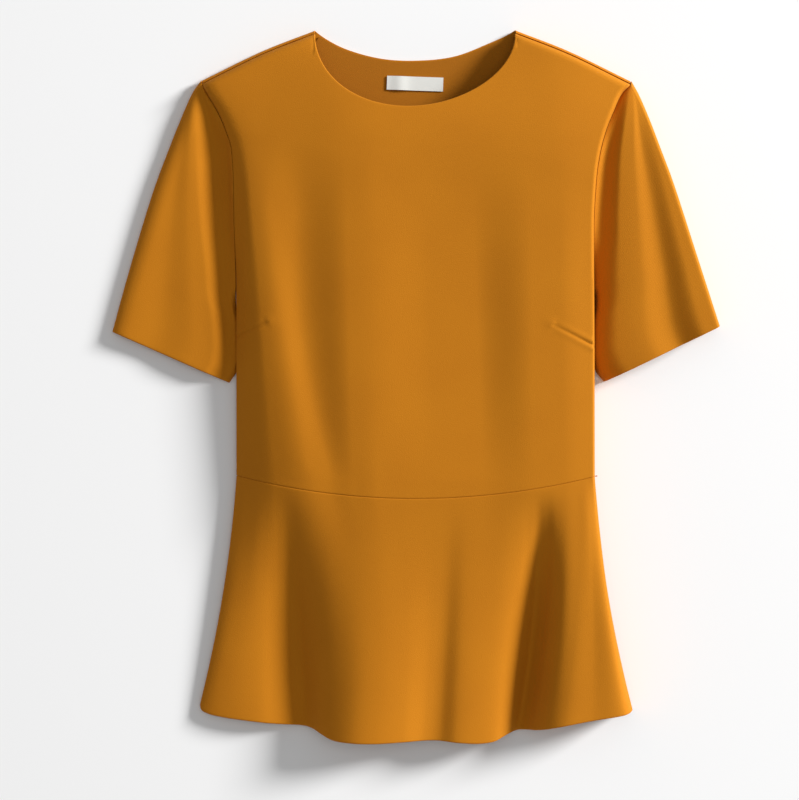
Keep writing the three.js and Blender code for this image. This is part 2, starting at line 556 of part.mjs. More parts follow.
// Sleeve in one piece: from the front armhole edge, over the outer fold, to the back edge
function sleeve(side) {
  const outerPoints = SLEEVE_EDGE[side].outer.map((row) => vector(row.x, row.y, SLEEVE.edgeHeight));
  const outerEdge = new THREE.CatmullRomCurve3(outerPoints, false, 'centripetal');
  const grid = sleeveEdges(side).map(({ front, back, down }) => {
    const outer = outerEdge.getPointAt(down);
    const width = Math.hypot(front.x - outer.x, front.y - outer.y);
    const growth = Math.sin(clamp(down / SLEEVE.capLength, 0, 1) * Math.PI / 2);
    const profile = SLEEVE_FOLDS[side].map((fold) => ({
      at: lerp(fold.capAt, fold.cuffAt, 1 - (1 - down) ** SLEEVE.foldEase),
      z: lerp(front.z, lerp(fold.capZ, fold.cuffZ, down), growth),
    }));
    const outerFoldHeight = profile[profile.length - 1].z;
    const section = [{ at: 0, z: front.z }, ...profile, { at: 1, z: outerFoldHeight }];
    const height = smooth(section, 'at', 'z');

    const rollShare = Math.min(SLEEVE.frontRoll[side] / width, SLEEVE.widestFrontRoll);
    const level = steps(SLEEVE_COLUMNS.front).map((step) => step * (1 - rollShare));
    const turns = steps(ROLL_STEPS).slice(1).map((step) => step * Math.PI / 2);
    const turning = turns.map((turn) => 1 - rollShare * (1 - Math.sin(turn)));
    const frontLayer = [...level, ...turning].map((share) => {
      const rise = quarter((1 - share) / rollShare);
      return front.clone().lerp(outer, share).setZ(lerp(SLEEVE.edgeHeight, height(share), rise));
    });

    const backShare = Math.min(SLEEVE.backRoll / width, SLEEVE.widestBackRoll);
    const under = turns.map((turn) => backShare * (1 - Math.cos(turn)));
    const rest = steps(SLEEVE_COLUMNS.back).slice(1).map((step) => lerp(backShare, 1, step));
    const backLayer = [...under, ...rest].map((share) => {
      const curled = (SLEEVE.edgeHeight - FLOOR_LAYER) * (1 - quarter(share / backShare));
      const near = clamp((share - 1 + SLEEVE.backLift) / SLEEVE.backLift, 0, 1);
      const lift = (back.z - FLOOR_LAYER) * near ** 2;
      return outer.clone().lerp(back, share).setZ(FLOOR_LAYER + curled + lift);
    });
    const row = [...frontLayer, ...backLayer];
    return side === 'left' ? row.reverse() : row;
  });
  return clothWall(grid, CLOTH);
}

// Back neck facing: a band inside the neck, on the back panel
function neckFacing() {
  const above = CLOTH / 2 + SEAM_GAP + FACING_CLOTH / 2;
  const grid = steps(FACING_GRID.rows).map((step) => steps(FACING_GRID.columns).map((column) => {
    const along = lerp(FACING.from, 1 - FACING.from, column);
    const tangent = backNeckCurve.getTangent(along);
    const point = backNeckCurve.getPoint(along)
      .addScaledVector(vector(tangent.y, -tangent.x, 0), lerp(FACING.top, FACING.depth, step));
    return backPoint(point.x, point.y, above);
  }));
  return clothWall(grid, FACING_CLOTH);
}

function neckLabel() {
  const middle = CLOTH + SEAM_GAP + FACING_CLOTH + SEAM_GAP + LABEL_CLOTH / 2;
  const up = vector(0, 0, 1);
  const grid = steps(LABEL_GRID.rows).map((down) => steps(LABEL_GRID.columns).map((step) => {
    const along = (step - 0.5) * LABEL.width;
    const wave = Math.exp(-(((along - LABEL_RIPPLE.at) / LABEL_RIPPLE.width) ** 2));
    const turned = vector(along, (0.5 - down) * LABEL.depth, 0).applyAxisAngle(up, LABEL.turn);
    return vector(LABEL.x + turned.x, LABEL.y + turned.y, middle + LABEL_RIPPLE.height * wave);
  }));
  return clothWall(grid, LABEL_CLOTH);
}

const PIECES = [
  { name: 'bodice_front', geometry: bodiceFront(), material: OCHRE },
  { name: 'bodice_back', geometry: bodiceBack(), material: OCHRE },
  { name: 'sleeve_left', geometry: sleeve('left'), material: OCHRE },
  { name: 'sleeve_right', geometry: sleeve('right'), material: OCHRE },
  { name: 'peplum_front', geometry: peplumFront(), material: OCHRE },
  { name: 'peplum_back', geometry: peplumBack(), material: OCHRE },
  { name: 'neck_facing', geometry: neckFacing(), material: OCHRE_INSIDE },
  { name: 'neck_label', geometry: neckLabel(), material: OFF_WHITE },
];

const peplumTop = new THREE.Group();
for (const piece of PIECES) {
  const mesh = new THREE.Mesh(piece.geometry, piece.material);
  mesh.name = piece.name;
  peplumTop.add(mesh);
}

export default peplumTop;
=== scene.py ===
"""Peplum top with a round neck and short set-in sleeves, laid out on its back.

Sizes are in millimetres, and become metres where a mesh is made. X runs across the garment, Y from
the hem to the neck, and Z up off the surface that it lies on.
"""

import logging
import math
from dataclasses import dataclass, fields
from enum import Enum
from typing import Any, Sequence

import bpy
import numpy as np
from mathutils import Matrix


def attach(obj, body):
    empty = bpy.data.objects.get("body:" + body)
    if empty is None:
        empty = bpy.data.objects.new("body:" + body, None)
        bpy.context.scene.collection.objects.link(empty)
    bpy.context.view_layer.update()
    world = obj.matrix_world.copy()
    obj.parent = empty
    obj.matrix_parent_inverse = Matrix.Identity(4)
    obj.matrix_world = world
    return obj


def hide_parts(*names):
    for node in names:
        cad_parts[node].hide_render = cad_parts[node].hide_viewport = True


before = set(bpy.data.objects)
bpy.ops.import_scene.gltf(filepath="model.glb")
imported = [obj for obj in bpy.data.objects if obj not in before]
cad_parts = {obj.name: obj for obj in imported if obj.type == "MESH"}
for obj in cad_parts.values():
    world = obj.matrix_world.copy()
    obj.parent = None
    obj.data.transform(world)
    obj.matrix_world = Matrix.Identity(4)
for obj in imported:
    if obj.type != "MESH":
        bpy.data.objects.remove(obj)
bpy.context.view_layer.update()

LOG = logging.getLogger("peplum_top")
MM = 0.001
Array = np.ndarray

ARMPIT_Y = 90.0
SMOOTH_ANGLE = math.radians(50)
CURVE_STEPS = 4001

# Steps of the turn at a seam and at a hem, in degrees
SEAM_ANGLES = (22, 45, 68, 90)
HEM_ANGLES = (20, 40, 60, 80, 100, 120, 140, 160, 180)

# Spacing of a wave texture's bands where its scale is 1
WAVE_LENGTH = 0.314


class Slot(Enum):
    """Material slots of the record."""

    CREPE = "crepe"
    CREPE_INSIDE = "crepe_inside"
    LABEL = "label"


class Side(Enum):
    """The garment's two sides, with the sign of X."""

    LEFT = -1
    RIGHT = 1


class Edge(Enum):
    """Edges of a grid of cloth points: rows run from the neck down, columns from the left."""

    TOP = "top"
    BOTTOM = "bottom"


# Curves and small sums


def lerp(start: Any, end: Any, share: Any) -> Any:
    """Value at a share of the way from start to end."""
    return start + (end - start) * share


def quarter(share: Array) -> Array:
    """Quarter circle rise: upright at 0, level from 1 on."""
    return np.sqrt(1 - (1 - np.clip(share, 0, 1)) ** 2)


def bell(distance: Array, width: float) -> Array:
    """Bell curve: 1 at no distance, fading over the width."""
    return np.exp(-((distance / width) ** 2))


def spaced(stops: Sequence[float], strides: Sequence[float]) -> Array:
    """Places from the first stop to the last, with their own stride between each two stops.

    Args:
        stops: places in order, rising or falling.
        strides: the largest step in each interval.

    Returns:
        All the places, stops included.
    """
    runs = [np.array([float(stops[0])])]
    for start, end, stride in zip(stops, stops[1:], strides):
        count = max(1, math.ceil(abs(end - start) / stride))
        runs.append(np.linspace(start, end, count + 1)[1:])
    return np.concatenate(runs)


def table_slopes(at: Array, to: Array) -> Array:
    """Slope at each row of a table, for a curve that never swings past its rows.

    Args:
        at: (rows, ...) places of the rows, rising.
        to: (rows, ...) values of the rows.

    Returns:
        (rows, ...) slopes, which are 0 where the values turn back.
    """
    rate = np.diff(to, axis=0) / np.diff(at, axis=0)
    before = np.concatenate([rate[:1], rate])
    after = np.concatenate([rate, rate[-1:]])
    same_way = before * after > 0
    total = np.where(same_way, before + after, 1.0)
    return np.where(same_way, 2 * before * after / total, 0.0)


def between_rows(
    place: Array, at: Sequence[Array], to: Sequence[Array], slope: Sequence[Array]
) -> Array:
    """Value of the smooth curve between two rows of a table.

    Args:
        place: the place that is asked for.
        at: places of the two rows.
        to: values of the two rows.
        slope: slopes at the two rows.

    Returns:
        The values.
    """
    length = at[1] - at[0]
    share = (place - at[0]) / length
    bend = share * share * (3 - 2 * share)
    leave = length * slope[0] * share * (1 - share) ** 2
    arrive = length * slope[1] * share * share * (1 - share)
    return lerp(to[0], to[1], bend) + leave - arrive


class SmoothLine:
    """Smooth curve through a table's rows that never swings past them."""

    def __init__(self, at: Sequence[float], to: Sequence[float]) -> None:
        """Keeps the rows in order, with the slope at each.

        Args:
            at: places of the rows.
            to: values of the rows.
        """
        order = np.argsort(at)
        self.at = np.asarray(at, float)[order]
        self.to = np.asarray(to, float)[order]
        self.slope = table_slopes(self.at, self.to)

    def __call__(self, wanted: Any) -> Array:
        """Value of the curve at each wanted place."""
        place = np.clip(wanted, self.at[0], self.at[-1])
        index = np.clip(np.searchsorted(self.at, place) - 1, 0, len(self.at) - 2)
        pairs = ((table[index], table[index + 1]) for table in (self.at, self.to, self.slope))
        return between_rows(place, *pairs)


def smooth_across(at: Array, to: Array, wanted: Array) -> Array:
    """The same curve, with a table of its own at each point.

    Args:
        at: (rows, ...) places of the rows at each point, rising.
        to: (rows, ...) values of the rows at each point.
        wanted: (...) the place that each point asks for.

    Returns:
        (...) the values.
    """
    place = np.clip(wanted, at[0], at[-1])
    index = np.clip((at < place).sum(axis=0) - 1, 0, len(at) - 2)[None]
    pairs = (
        [np.take_along_axis(table, row, axis=0)[0] for row in (index, index + 1)]
        for table in (at, to, table_slopes(at, to))
    )
    return between_rows(place, *pairs)


def through_points(points: Array, places: Array) -> Array:
    """Centripetal curve through points.

    Args:
        points: (..., count, 3) points, one curve for each leading index.
        places: places along, where point number n lies at n.

    Returns:
        (..., len(places), 3) points on the curves.
    """
    before = 2 * points[..., :1, :] - points[..., 1:2, :]
    after = 2 * points[..., -1:, :] - points[..., -2:-1, :]
    padded = np.concatenate([before, points, after], axis=-2)
    index = np.clip(np.floor(places).astype(int), 0, points.shape[-2] - 2)
    share = (places - index)[:, None]
    p0, p1, p2, p3 = (padded[..., index + step, :] for step in range(4))
    gap0, gap1, gap2 = (
        np.sqrt(np.linalg.norm(end - start, axis=-1, keepdims=True) + 1e-9)
        for start, end in ((p0, p1), (p1, p2), (p2, p3))
    )
    leave = ((p1 - p0) / gap0 - (p2 - p0) / (gap0 + gap1) + (p2 - p1) / gap1) * gap1
    arrive = ((p2 - p1) / gap1 - (p3 - p1) / (gap1 + gap2) + (p3 - p2) / gap2) * gap1
    square = -3 * p1 + 3 * p2 - 2 * leave - arrive
    cube = 2 * p1 - 2 * p2 + leave + arrive
    return p1 + share * (leave + share * (square + share * cube))


def along_curve(points: Array, shares: Array) -> Array:
    """Points of the centripetal curve at shares of its length."""
    fine = through_points(points, np.linspace(0, len(points) - 1, CURVE_STEPS))
    run = np.concatenate([[0], np.cumsum(np.linalg.norm(np.diff(fine, axis=0), axis=1))])
    return np.stack([np.interp(shares * run[-1], run, fine[:, axis]) for axis in range(3)], axis=1)


# Cloth


def grid_directions(grid: Array) -> tuple[Array, Array]:
    """Unit directions up the cloth and out of it at each point of a grid."""
    upward = -np.gradient(grid, axis=0)
    outward = np.cross(np.gradient(grid, axis=1), upward)
    return tuple(
        direction / (np.linalg.norm(direction, axis=-1, keepdims=True) + 1e-12)
        for direction in (upward, outward)
    )


def turn_edge(
    grid: Array, edge: Edge, profile: Array, inside: int, shrink: Array | None = None
) -> Array:
    """Carries a grid of cloth on past one edge, as where it is turned in at a seam or a hem.

    Args:
        grid: (rows, columns, 3) points in the middle of the cloth.
        edge: the edge that is turned in.
        profile: (count, 2) steps past the edge and towards the inside, in millimetres.
        inside: -1 where the inside of the garment is below the cloth, 1 where it is above.
        shrink: size of the turn at each point of the edge, from 0 to 1.

    Returns:
        The grid with the turned rows added.
    """
    upward, outward = grid_directions(grid)
    row, onward = (0, 1) if edge is Edge.TOP else (-1, -1)
    size = np.ones(grid.shape[1]) if shrink is None else shrink
    past, inward = upward[row] * onward, outward[row] * inside
    rows = [grid[row] + (past * out + inward * deep) * size[:, None] for out, deep in profile]
    added = np.stack(rows)
    order = [added[::-1], grid] if edge is Edge.TOP else [grid, added]
    return np.concatenate(order)


def seam_profile(roll: float, allowance: float) -> Array:
    """Turn of a seam: a small quarter roll, then the seam allowance straight in."""
    angles = np.radians(SEAM_ANGLES)
    rolled = np.stack([roll * np.sin(angles), roll * (1 - np.cos(angles))], axis=1)
    straight = [(roll, roll + step) for step in np.linspace(0, allowance, 3)[1:]]
    return np.concatenate([rolled, straight])


def hem_profile(roll: float, depth: float, stride: float = 2.0) -> Array:
    """Turn of a hem: a half roll, then the cloth flat along the inside."""
    angles = np.radians(HEM_ANGLES)
    rolled = np.stack([roll * np.sin(angles), roll * (1 - np.cos(angles))], axis=1)
    back = np.linspace(0, depth, math.ceil(depth / stride) + 1)[1:]
    return np.concatenate([rolled, np.stack([-back, np.full(len(back), 2 * roll)], axis=1)])


def run_along(grid: Array, axis: int) -> Array:
    """Length of cloth from the first row or column of a grid to each point."""
    steps = np.linalg.norm(np.diff(grid, axis=axis), axis=-1)
    return np.insert(np.cumsum(steps, axis=axis), 0, 0, axis=axis)


def cloth_map(grid: Array) -> Array:
    """Flat cloth of a grid whose rows lie across the grain: lengths along rows and columns."""
    across = run_along(grid, 1)
    across -= across[:, grid.shape[1] // 2][:, None]
    return np.stack([across, -run_along(grid, 0)], axis=-1)


def plan_map(grid: Array, turning: int, rows_in: tuple[int, int]) -> Array:
    """Flat cloth of a panel seen from above, with the length of what turns down at its sides.

    Args:
        grid: (rows, columns, 3) points.
        turning: how many columns turn down at each side.
        rows_in: how many rows are turned in at the top and at the bottom.

    Returns:
        (rows, columns, 2) places on the flat cloth.
    """
    flat = grid[..., :2].copy()
    run = run_along(grid, 1)
    last = grid.shape[1] - 1 - turning
    for place, columns in ((turning, np.s_[:turning]), (last, np.s_[last:])):
        edge = np.s_[:, place : place + 1]
        flat[:, columns, 0] = flat[..., 0][edge] + run[:, columns] - run[edge]
    down = run_along(grid, 0)
    bottom = len(grid) - 1 - rows_in[1]
    for place, rows in ((rows_in[0], np.s_[: rows_in[0]]), (bottom, np.s_[bottom:])):
        flat[rows, :, 1] = flat[place, :, 1] + down[place] - down[rows]
    return flat


def cloth_mesh(
    name: str, grid: Array, thickness: float, flat: Array | None = None
) -> bpy.types.Object:
    """Sheet of cloth through a grid of points in its middle, with its real thickness.

    Args:
        name: name of the piece.
        grid: (rows, columns, 3) points in millimetres.
        thickness: thickness of the cloth in millimetres.
        flat: (rows, columns, 2) places on the flat cloth, if not the lengths along the grid.

    Returns:
        The new object. Its UV map is the flat cloth, in metres.
    """
    rows, columns = grid.shape[:2]
    number = np.arange(rows * columns).reshape(rows, columns)
    faces = np.stack(
        [number[1:, :-1], number[1:, 1:], number[:-1, 1:], number[:-1, :-1]], axis=-1
    ).reshape(-1, 4)
    mesh = bpy.data.meshes.new(name)
    mesh.from_pydata((grid.reshape(-1, 3) * MM).tolist(), [], faces.tolist())
    places = (cloth_map(grid) if flat is None else flat).reshape(-1, 2) * MM
    layer = mesh.uv_layers.new(name="UVMap")
    layer.data.foreach_set("uv", places[faces.reshape(-1)].astype(np.float32).reshape(-1))
    piece = bpy.data.objects.new(name, mesh)
    bpy.context.scene.collection.objects.link(piece)
    select_only(piece)
    wall = piece.modifiers.new("cloth", "SOLIDIFY")
    wall.thickness = thickness * MM
    wall.offset = 0
    wall.use_even_offset = False
    bpy.ops.object.modifier_apply(modifier=wall.name)
    bpy.ops.object.shade_smooth_by_angle(angle=SMOOTH_ANGLE)
    return piece


def select_only(piece: bpy.types.Object) -> None:
    """Selects one object alone and makes it active."""
    bpy.ops.object.select_all(action="DESELECT")
    piece.select_set(True)
    bpy.context.view_layer.objects.active = piece


# Finishes


def linear(colour: str) -> tuple[float, float, float, float]:
    """Linear colour of an sRGB hex value."""
    parts = [int(colour[place : place + 2], 16) / 255 for place in (1, 3, 5)]
    return (*(c / 12.92 if c <= 0.04045 else ((c + 0.055) / 1.055) ** 2.4 for c in parts), 1.0)


def add_node(
    tree: bpy.types.NodeTree,
    kind: str,
    settings: dict[str | int, Any] | None = None,
    links: dict[str | int, bpy.types.NodeSocket] | None = None,
) -> bpy.types.Node:
    """Adds a node with its settings and links.

    Args:
        tree: the material's nodes.
        kind: Blender's name for the kind of node.
        settings: values by the name or number of an input, or by the name of a property.
        links: outputs of other nodes, by the name or number of the input that they reach.

    Returns:
        The new node.
    """
    node = tree.nodes.new(kind)
    for key, value in (settings or {}).items():
        if isinstance(key, int) or key in node.inputs:
            node.inputs[key].default_value = value
        else:
            setattr(node, key, value)
    for key, source in (links or {}).items():
        tree.links.new(source, node.inputs[key])
    return node


def bare_material(name: str) -> tuple[bpy.types.Material, bpy.types.NodeTree]:
    """New material without nodes, and the tree for its nodes."""
    material = bpy.data.materials.new(name)
    material.use_nodes = True
    material.node_tree.nodes.clear()
    return material, material.node_tree


def blend(
    tree: bpy.types.NodeTree,
    share: float,
    first: bpy.types.NodeSocket,
    second: bpy.types.NodeSocket,
) -> bpy.types.NodeSocket:
    """Blend of two outputs, with the given share of the second."""
    mixed = {"data_type": "FLOAT", 0: share}
    return add_node(tree, "ShaderNodeMix", mixed, {2: first, 3: second}).outputs[0]


def show_surface(tree: bpy.types.NodeTree, shader: bpy.types.Node) -> None:
    """Leads a shader to the material's surface."""
    add_node(tree, "ShaderNodeOutputMaterial", {}, {"Surface": shader.outputs["BSDF"]})


@dataclass(frozen=True)
class CrepeFinish:
    """Woven polyester crepe, piece-dyed ochre: matt, with a pebbly grain and a faint twill.

    The twisted yarns stand at every angle, so it scatters light softly, with a slight sheen at
    the edges of folds. The real yarns are 0.3 mm apart, too fine for the render, so the pebbles
    are drawn at 0.9 mm and the twill's ribs 1.3 mm apart.
    """

    name: str = "ochre_crepe"
    light: str = "#c47b0e"
    dark: str = "#b16906"
    pebble_mm: float = 0.9
    twill_mm: float = 1.3
    cloud_mm: float = 60.0
    bump_mm: float = 0.22
    pebble_detail: float = 3.0
    pebble_roughness: float = 0.65
    twill_degrees: float = 38.0
    twill_waver: float = 2.5
    twill_detail: float = 2.0
    twill_detail_scale: float = 3.0
    twill_share: float = 0.16
    cloud_detail: float = 1.0
    cloud_share: float = 0.15
    darkest: float = 0.32
    lightest: float = 0.68
    roughness: float = 0.88
    refraction: float = 1.3
    sheen: float = 0.04
    sheen_roughness: float = 0.5
    sheen_colour: str = "#e8a850"

    def material(self) -> bpy.types.Material:
        """Builds the material's nodes, on the flat cloth's own map."""
        material, tree = bare_material(self.name)
        cloth = add_node(tree, "ShaderNodeUVMap", {"uv_map": "UVMap"}).outputs["UV"]
        pebbles = add_node(
            tree,
            "ShaderNodeTexNoise",
            {
                "Scale": 1 / (self.pebble_mm * MM),
                "Detail": self.pebble_detail,
                "Roughness": self.pebble_roughness,
            },
            {"Vector": cloth},
        ).outputs["Fac"]
        turned = add_node(
            tree,
            "ShaderNodeMapping",
            {"Rotation": (0, 0, math.radians(self.twill_degrees))},
            {"Vector": cloth},
        ).outputs["Vector"]
        twill = add_node(
            tree,
            "ShaderNodeTexWave",
            {
                "bands_direction": "X",
                "Scale": WAVE_LENGTH / (self.twill_mm * MM),
                "Distortion": self.twill_waver,
                "Detail": self.twill_detail,
                "Detail Scale": self.twill_detail_scale,
            },
            {"Vector": turned},
        ).outputs["Fac"]
        cloud = add_node(
            tree,
            "ShaderNodeTexNoise",
            {"Scale": 1 / (self.cloud_mm * MM), "Detail": self.cloud_detail},
            {"Vector": cloth},
        ).outputs["Fac"]
        weave = blend(tree, self.twill_share, pebbles, twill)
        tone = blend(tree, self.cloud_share, weave, cloud)
        colour = add_node(tree, "ShaderNodeValToRGB", {}, {"Fac": tone})
        low, high = colour.color_ramp.elements
        low.position, high.position = self.darkest, self.lightest
        low.color, high.color = linear(self.dark), linear(self.light)
        bump = add_node(
            tree,
            "ShaderNodeBump",
            {"Strength": 1.0, "Distance": self.bump_mm * MM},
            {"Height": weave},
        ).outputs["Normal"]
        shader = add_node(
            tree,
            "ShaderNodeBsdfPrincipled",
            {
                "Roughness": self.roughness,
                "IOR": self.refraction,
                "Sheen Weight": self.sheen,
                "Sheen Roughness": self.sheen_roughness,
                "Sheen Tint": linear(self.sheen_colour),
            },
            {"Base Color": colour.outputs["Color"], "Normal": bump},
        )
        show_surface(tree, shader)
        return material


@dataclass(frozen=True)
class SatinLabelFinish:
    """Woven polyester satin label, white, drawn a little grey as painted shade for the shade inside
    the neck: smooth, with a soft gloss and fine ribs across it.

    The ribs are drawn 0.9 mm apart, three times the real ones, so that they show.
    """

    name: str = "white_satin_painted_shade"
    # The label's white, toned down as painted shade.
    white: str = "#dfdfd9"
    rib_mm: float = 0.9
    rib_waver: float = 0.4
    bump_mm: float = 0.1
    bump_strength: float = 0.5
    roughness: float = 0.45
    sheen: float = 0.1

    def material(self) -> bpy.types.Material:
        """Builds the material's nodes, on the flat label's own map."""
        material, tree = bare_material(self.name)
        cloth = add_node(tree, "ShaderNodeUVMap", {"uv_map": "UVMap"}).outputs["UV"]
        ribs = add_node(
            tree,
            "ShaderNodeTexWave",
            {
                "bands_direction": "X",
                "Scale": WAVE_LENGTH / (self.rib_mm * MM),
                "Distortion": self.rib_waver,
            },
            {"Vector": cloth},
        ).outputs["Fac"]
        bump = add_node(
            tree,
            "ShaderNodeBump",
            {"Strength": self.bump_strength, "Distance": self.bump_mm * MM},
            {"Height": ribs},
        ).outputs["Normal"]
        shader = add_node(
            tree,
            "ShaderNodeBsdfPrincipled",
            {
                "Base Color": linear(self.white),
                "Roughness": self.roughness,
                "Sheen Weight": self.sheen,
            },
            {"Normal": bump},
        )
        show_surface(tree, shader)
        return material


@dataclass(frozen=True)
class PaperFloorFinish:
    """Matt white paper of a studio backdrop."""

    name: str = "white_paper"
    white: str = "#f4f4f4"
    roughness: float = 0.9

    def material(self) -> bpy.types.Material:
        """Builds the material's nodes: plain matt white."""
        material, tree = bare_material(self.name)
        shader = add_node(
            tree,
            "ShaderNodeBsdfPrincipled",
            {"Base Color": linear(self.white), "Roughness": self.roughness},
        )
        show_surface(tree, shader)
        return material


# The garment's lines, shared by its pieces


@dataclass(frozen=True)
class Cloth:
    """Thickness of the cloth, how it is turned at seams and hems, and the mesh's stride.

    cad_half is half the thickness of the CAD node's wall, and floor_layer the height of the
    lowest wall's middle.
    """

    thickness: float = 0.8
    floor_layer: float = 0.6
    cad_half: float = 0.6
    seam_gap: float = 0.3
    edge_to_edge: float = 1.2
    seam_roll: float = 0.45
    allowance: float = 2.4
    seam_back: float = 0.85
    hem_roll: float = 0.7
    hem_depth: float = 8.0
    stride: float = 2.1


CLOTH = Cloth()

# Height of the front and its roll at the end of each shoulder seam
TIP_FRONT = 8.1
TIP_ROLL = 4.0


@dataclass(frozen=True)
class SideRow:
    """One height of a side line: the seam, the heights of both edges, and the front's roll."""

    y: float
    x: float
    front: float
    back: float
    roll: float


class SideLine:
    """A side of the bodice: the armhole seam, and below the armpit the side seam to the waist."""

    def __init__(self, tip_x: float, tip_y: float, rows: Sequence[SideRow]) -> None:
        """Makes the smooth lines.

        Args:
            tip_x: end of the shoulder seam.
            tip_y: height up the garment of that end.
            rows: the side line's table.
        """
        self.tip_x = tip_x
        self.tip_y = tip_y
        table = [SideRow(tip_y, tip_x, TIP_FRONT, CLOTH.floor_layer, TIP_ROLL), *rows]
        heights = [row.y for row in table]
        self.x = SmoothLine(heights, [row.x for row in table])
        self.front = SmoothLine(heights, [row.front for row in table])
        self.back = SmoothLine(heights, [row.back for row in table])
        self.roll = SmoothLine(heights, [row.roll for row in table])


@dataclass(frozen=True)
class FrontLine:
    """Ridge or trough down the front: x and height at the chest, the bust and the waist.

    A line from a side counts x from that side's seam.
    """

    start: Side | None
    chest_x: float
    bust_x: float
    waist_x: float
    chest_z: float
    bust_z: float
    waist_z: float


def through_three(start: Any, middle: Any, end: Any, share: Any) -> Any:
    """Place along a line through three values, at 0, one half and 1."""
    return (
        start * (1 - share) * (1 - 2 * share)
        + 4 * middle * share * (1 - share)
        + end * share * (2 * share - 1)
    )


@dataclass(frozen=True)
class Dart:
    """Bust dart: a fine crease from the side seam to its tip, deepest at the seam."""

    x1: float
    y1: float
    x2: float
    y2: float
    depth: float = 1.1
    width: float = 1.1
    fade: float = 0.6
    pucker: float = 0.5
    pucker_aside: float = 3.2
    pucker_width: float = 2.4
    tip_rise: float = 0.5
    tip_reach: float = 7.0
    tip_width: float = 5.0

    def at(self, x: Array, y: Array) -> Array:
        """Height of the crease and the slight fullness beside it, at points of the front."""
        run_x, run_y = self.x2 - self.x1, self.y2 - self.y1
        length = math.hypot(run_x, run_y)
        along = ((x - self.x1) * run_x + (y - self.y1) * run_y) / length**2
        aside = ((x - self.x1) * run_y - (y - self.y1) * run_x) / length
        past = np.maximum(along - 1, 0) * length
        fade = np.clip(1 - along, 0, 1) ** self.fade
        crease = -self.depth * fade * bell(aside, self.width)
        beside = self.pucker * bell(np.abs(aside) - self.pucker_aside, self.pucker_width) * fade
        tip = self.tip_rise * bell(past, self.tip_reach) * bell(aside, self.tip_width) * (along > 1)
        return crease + beside + tip


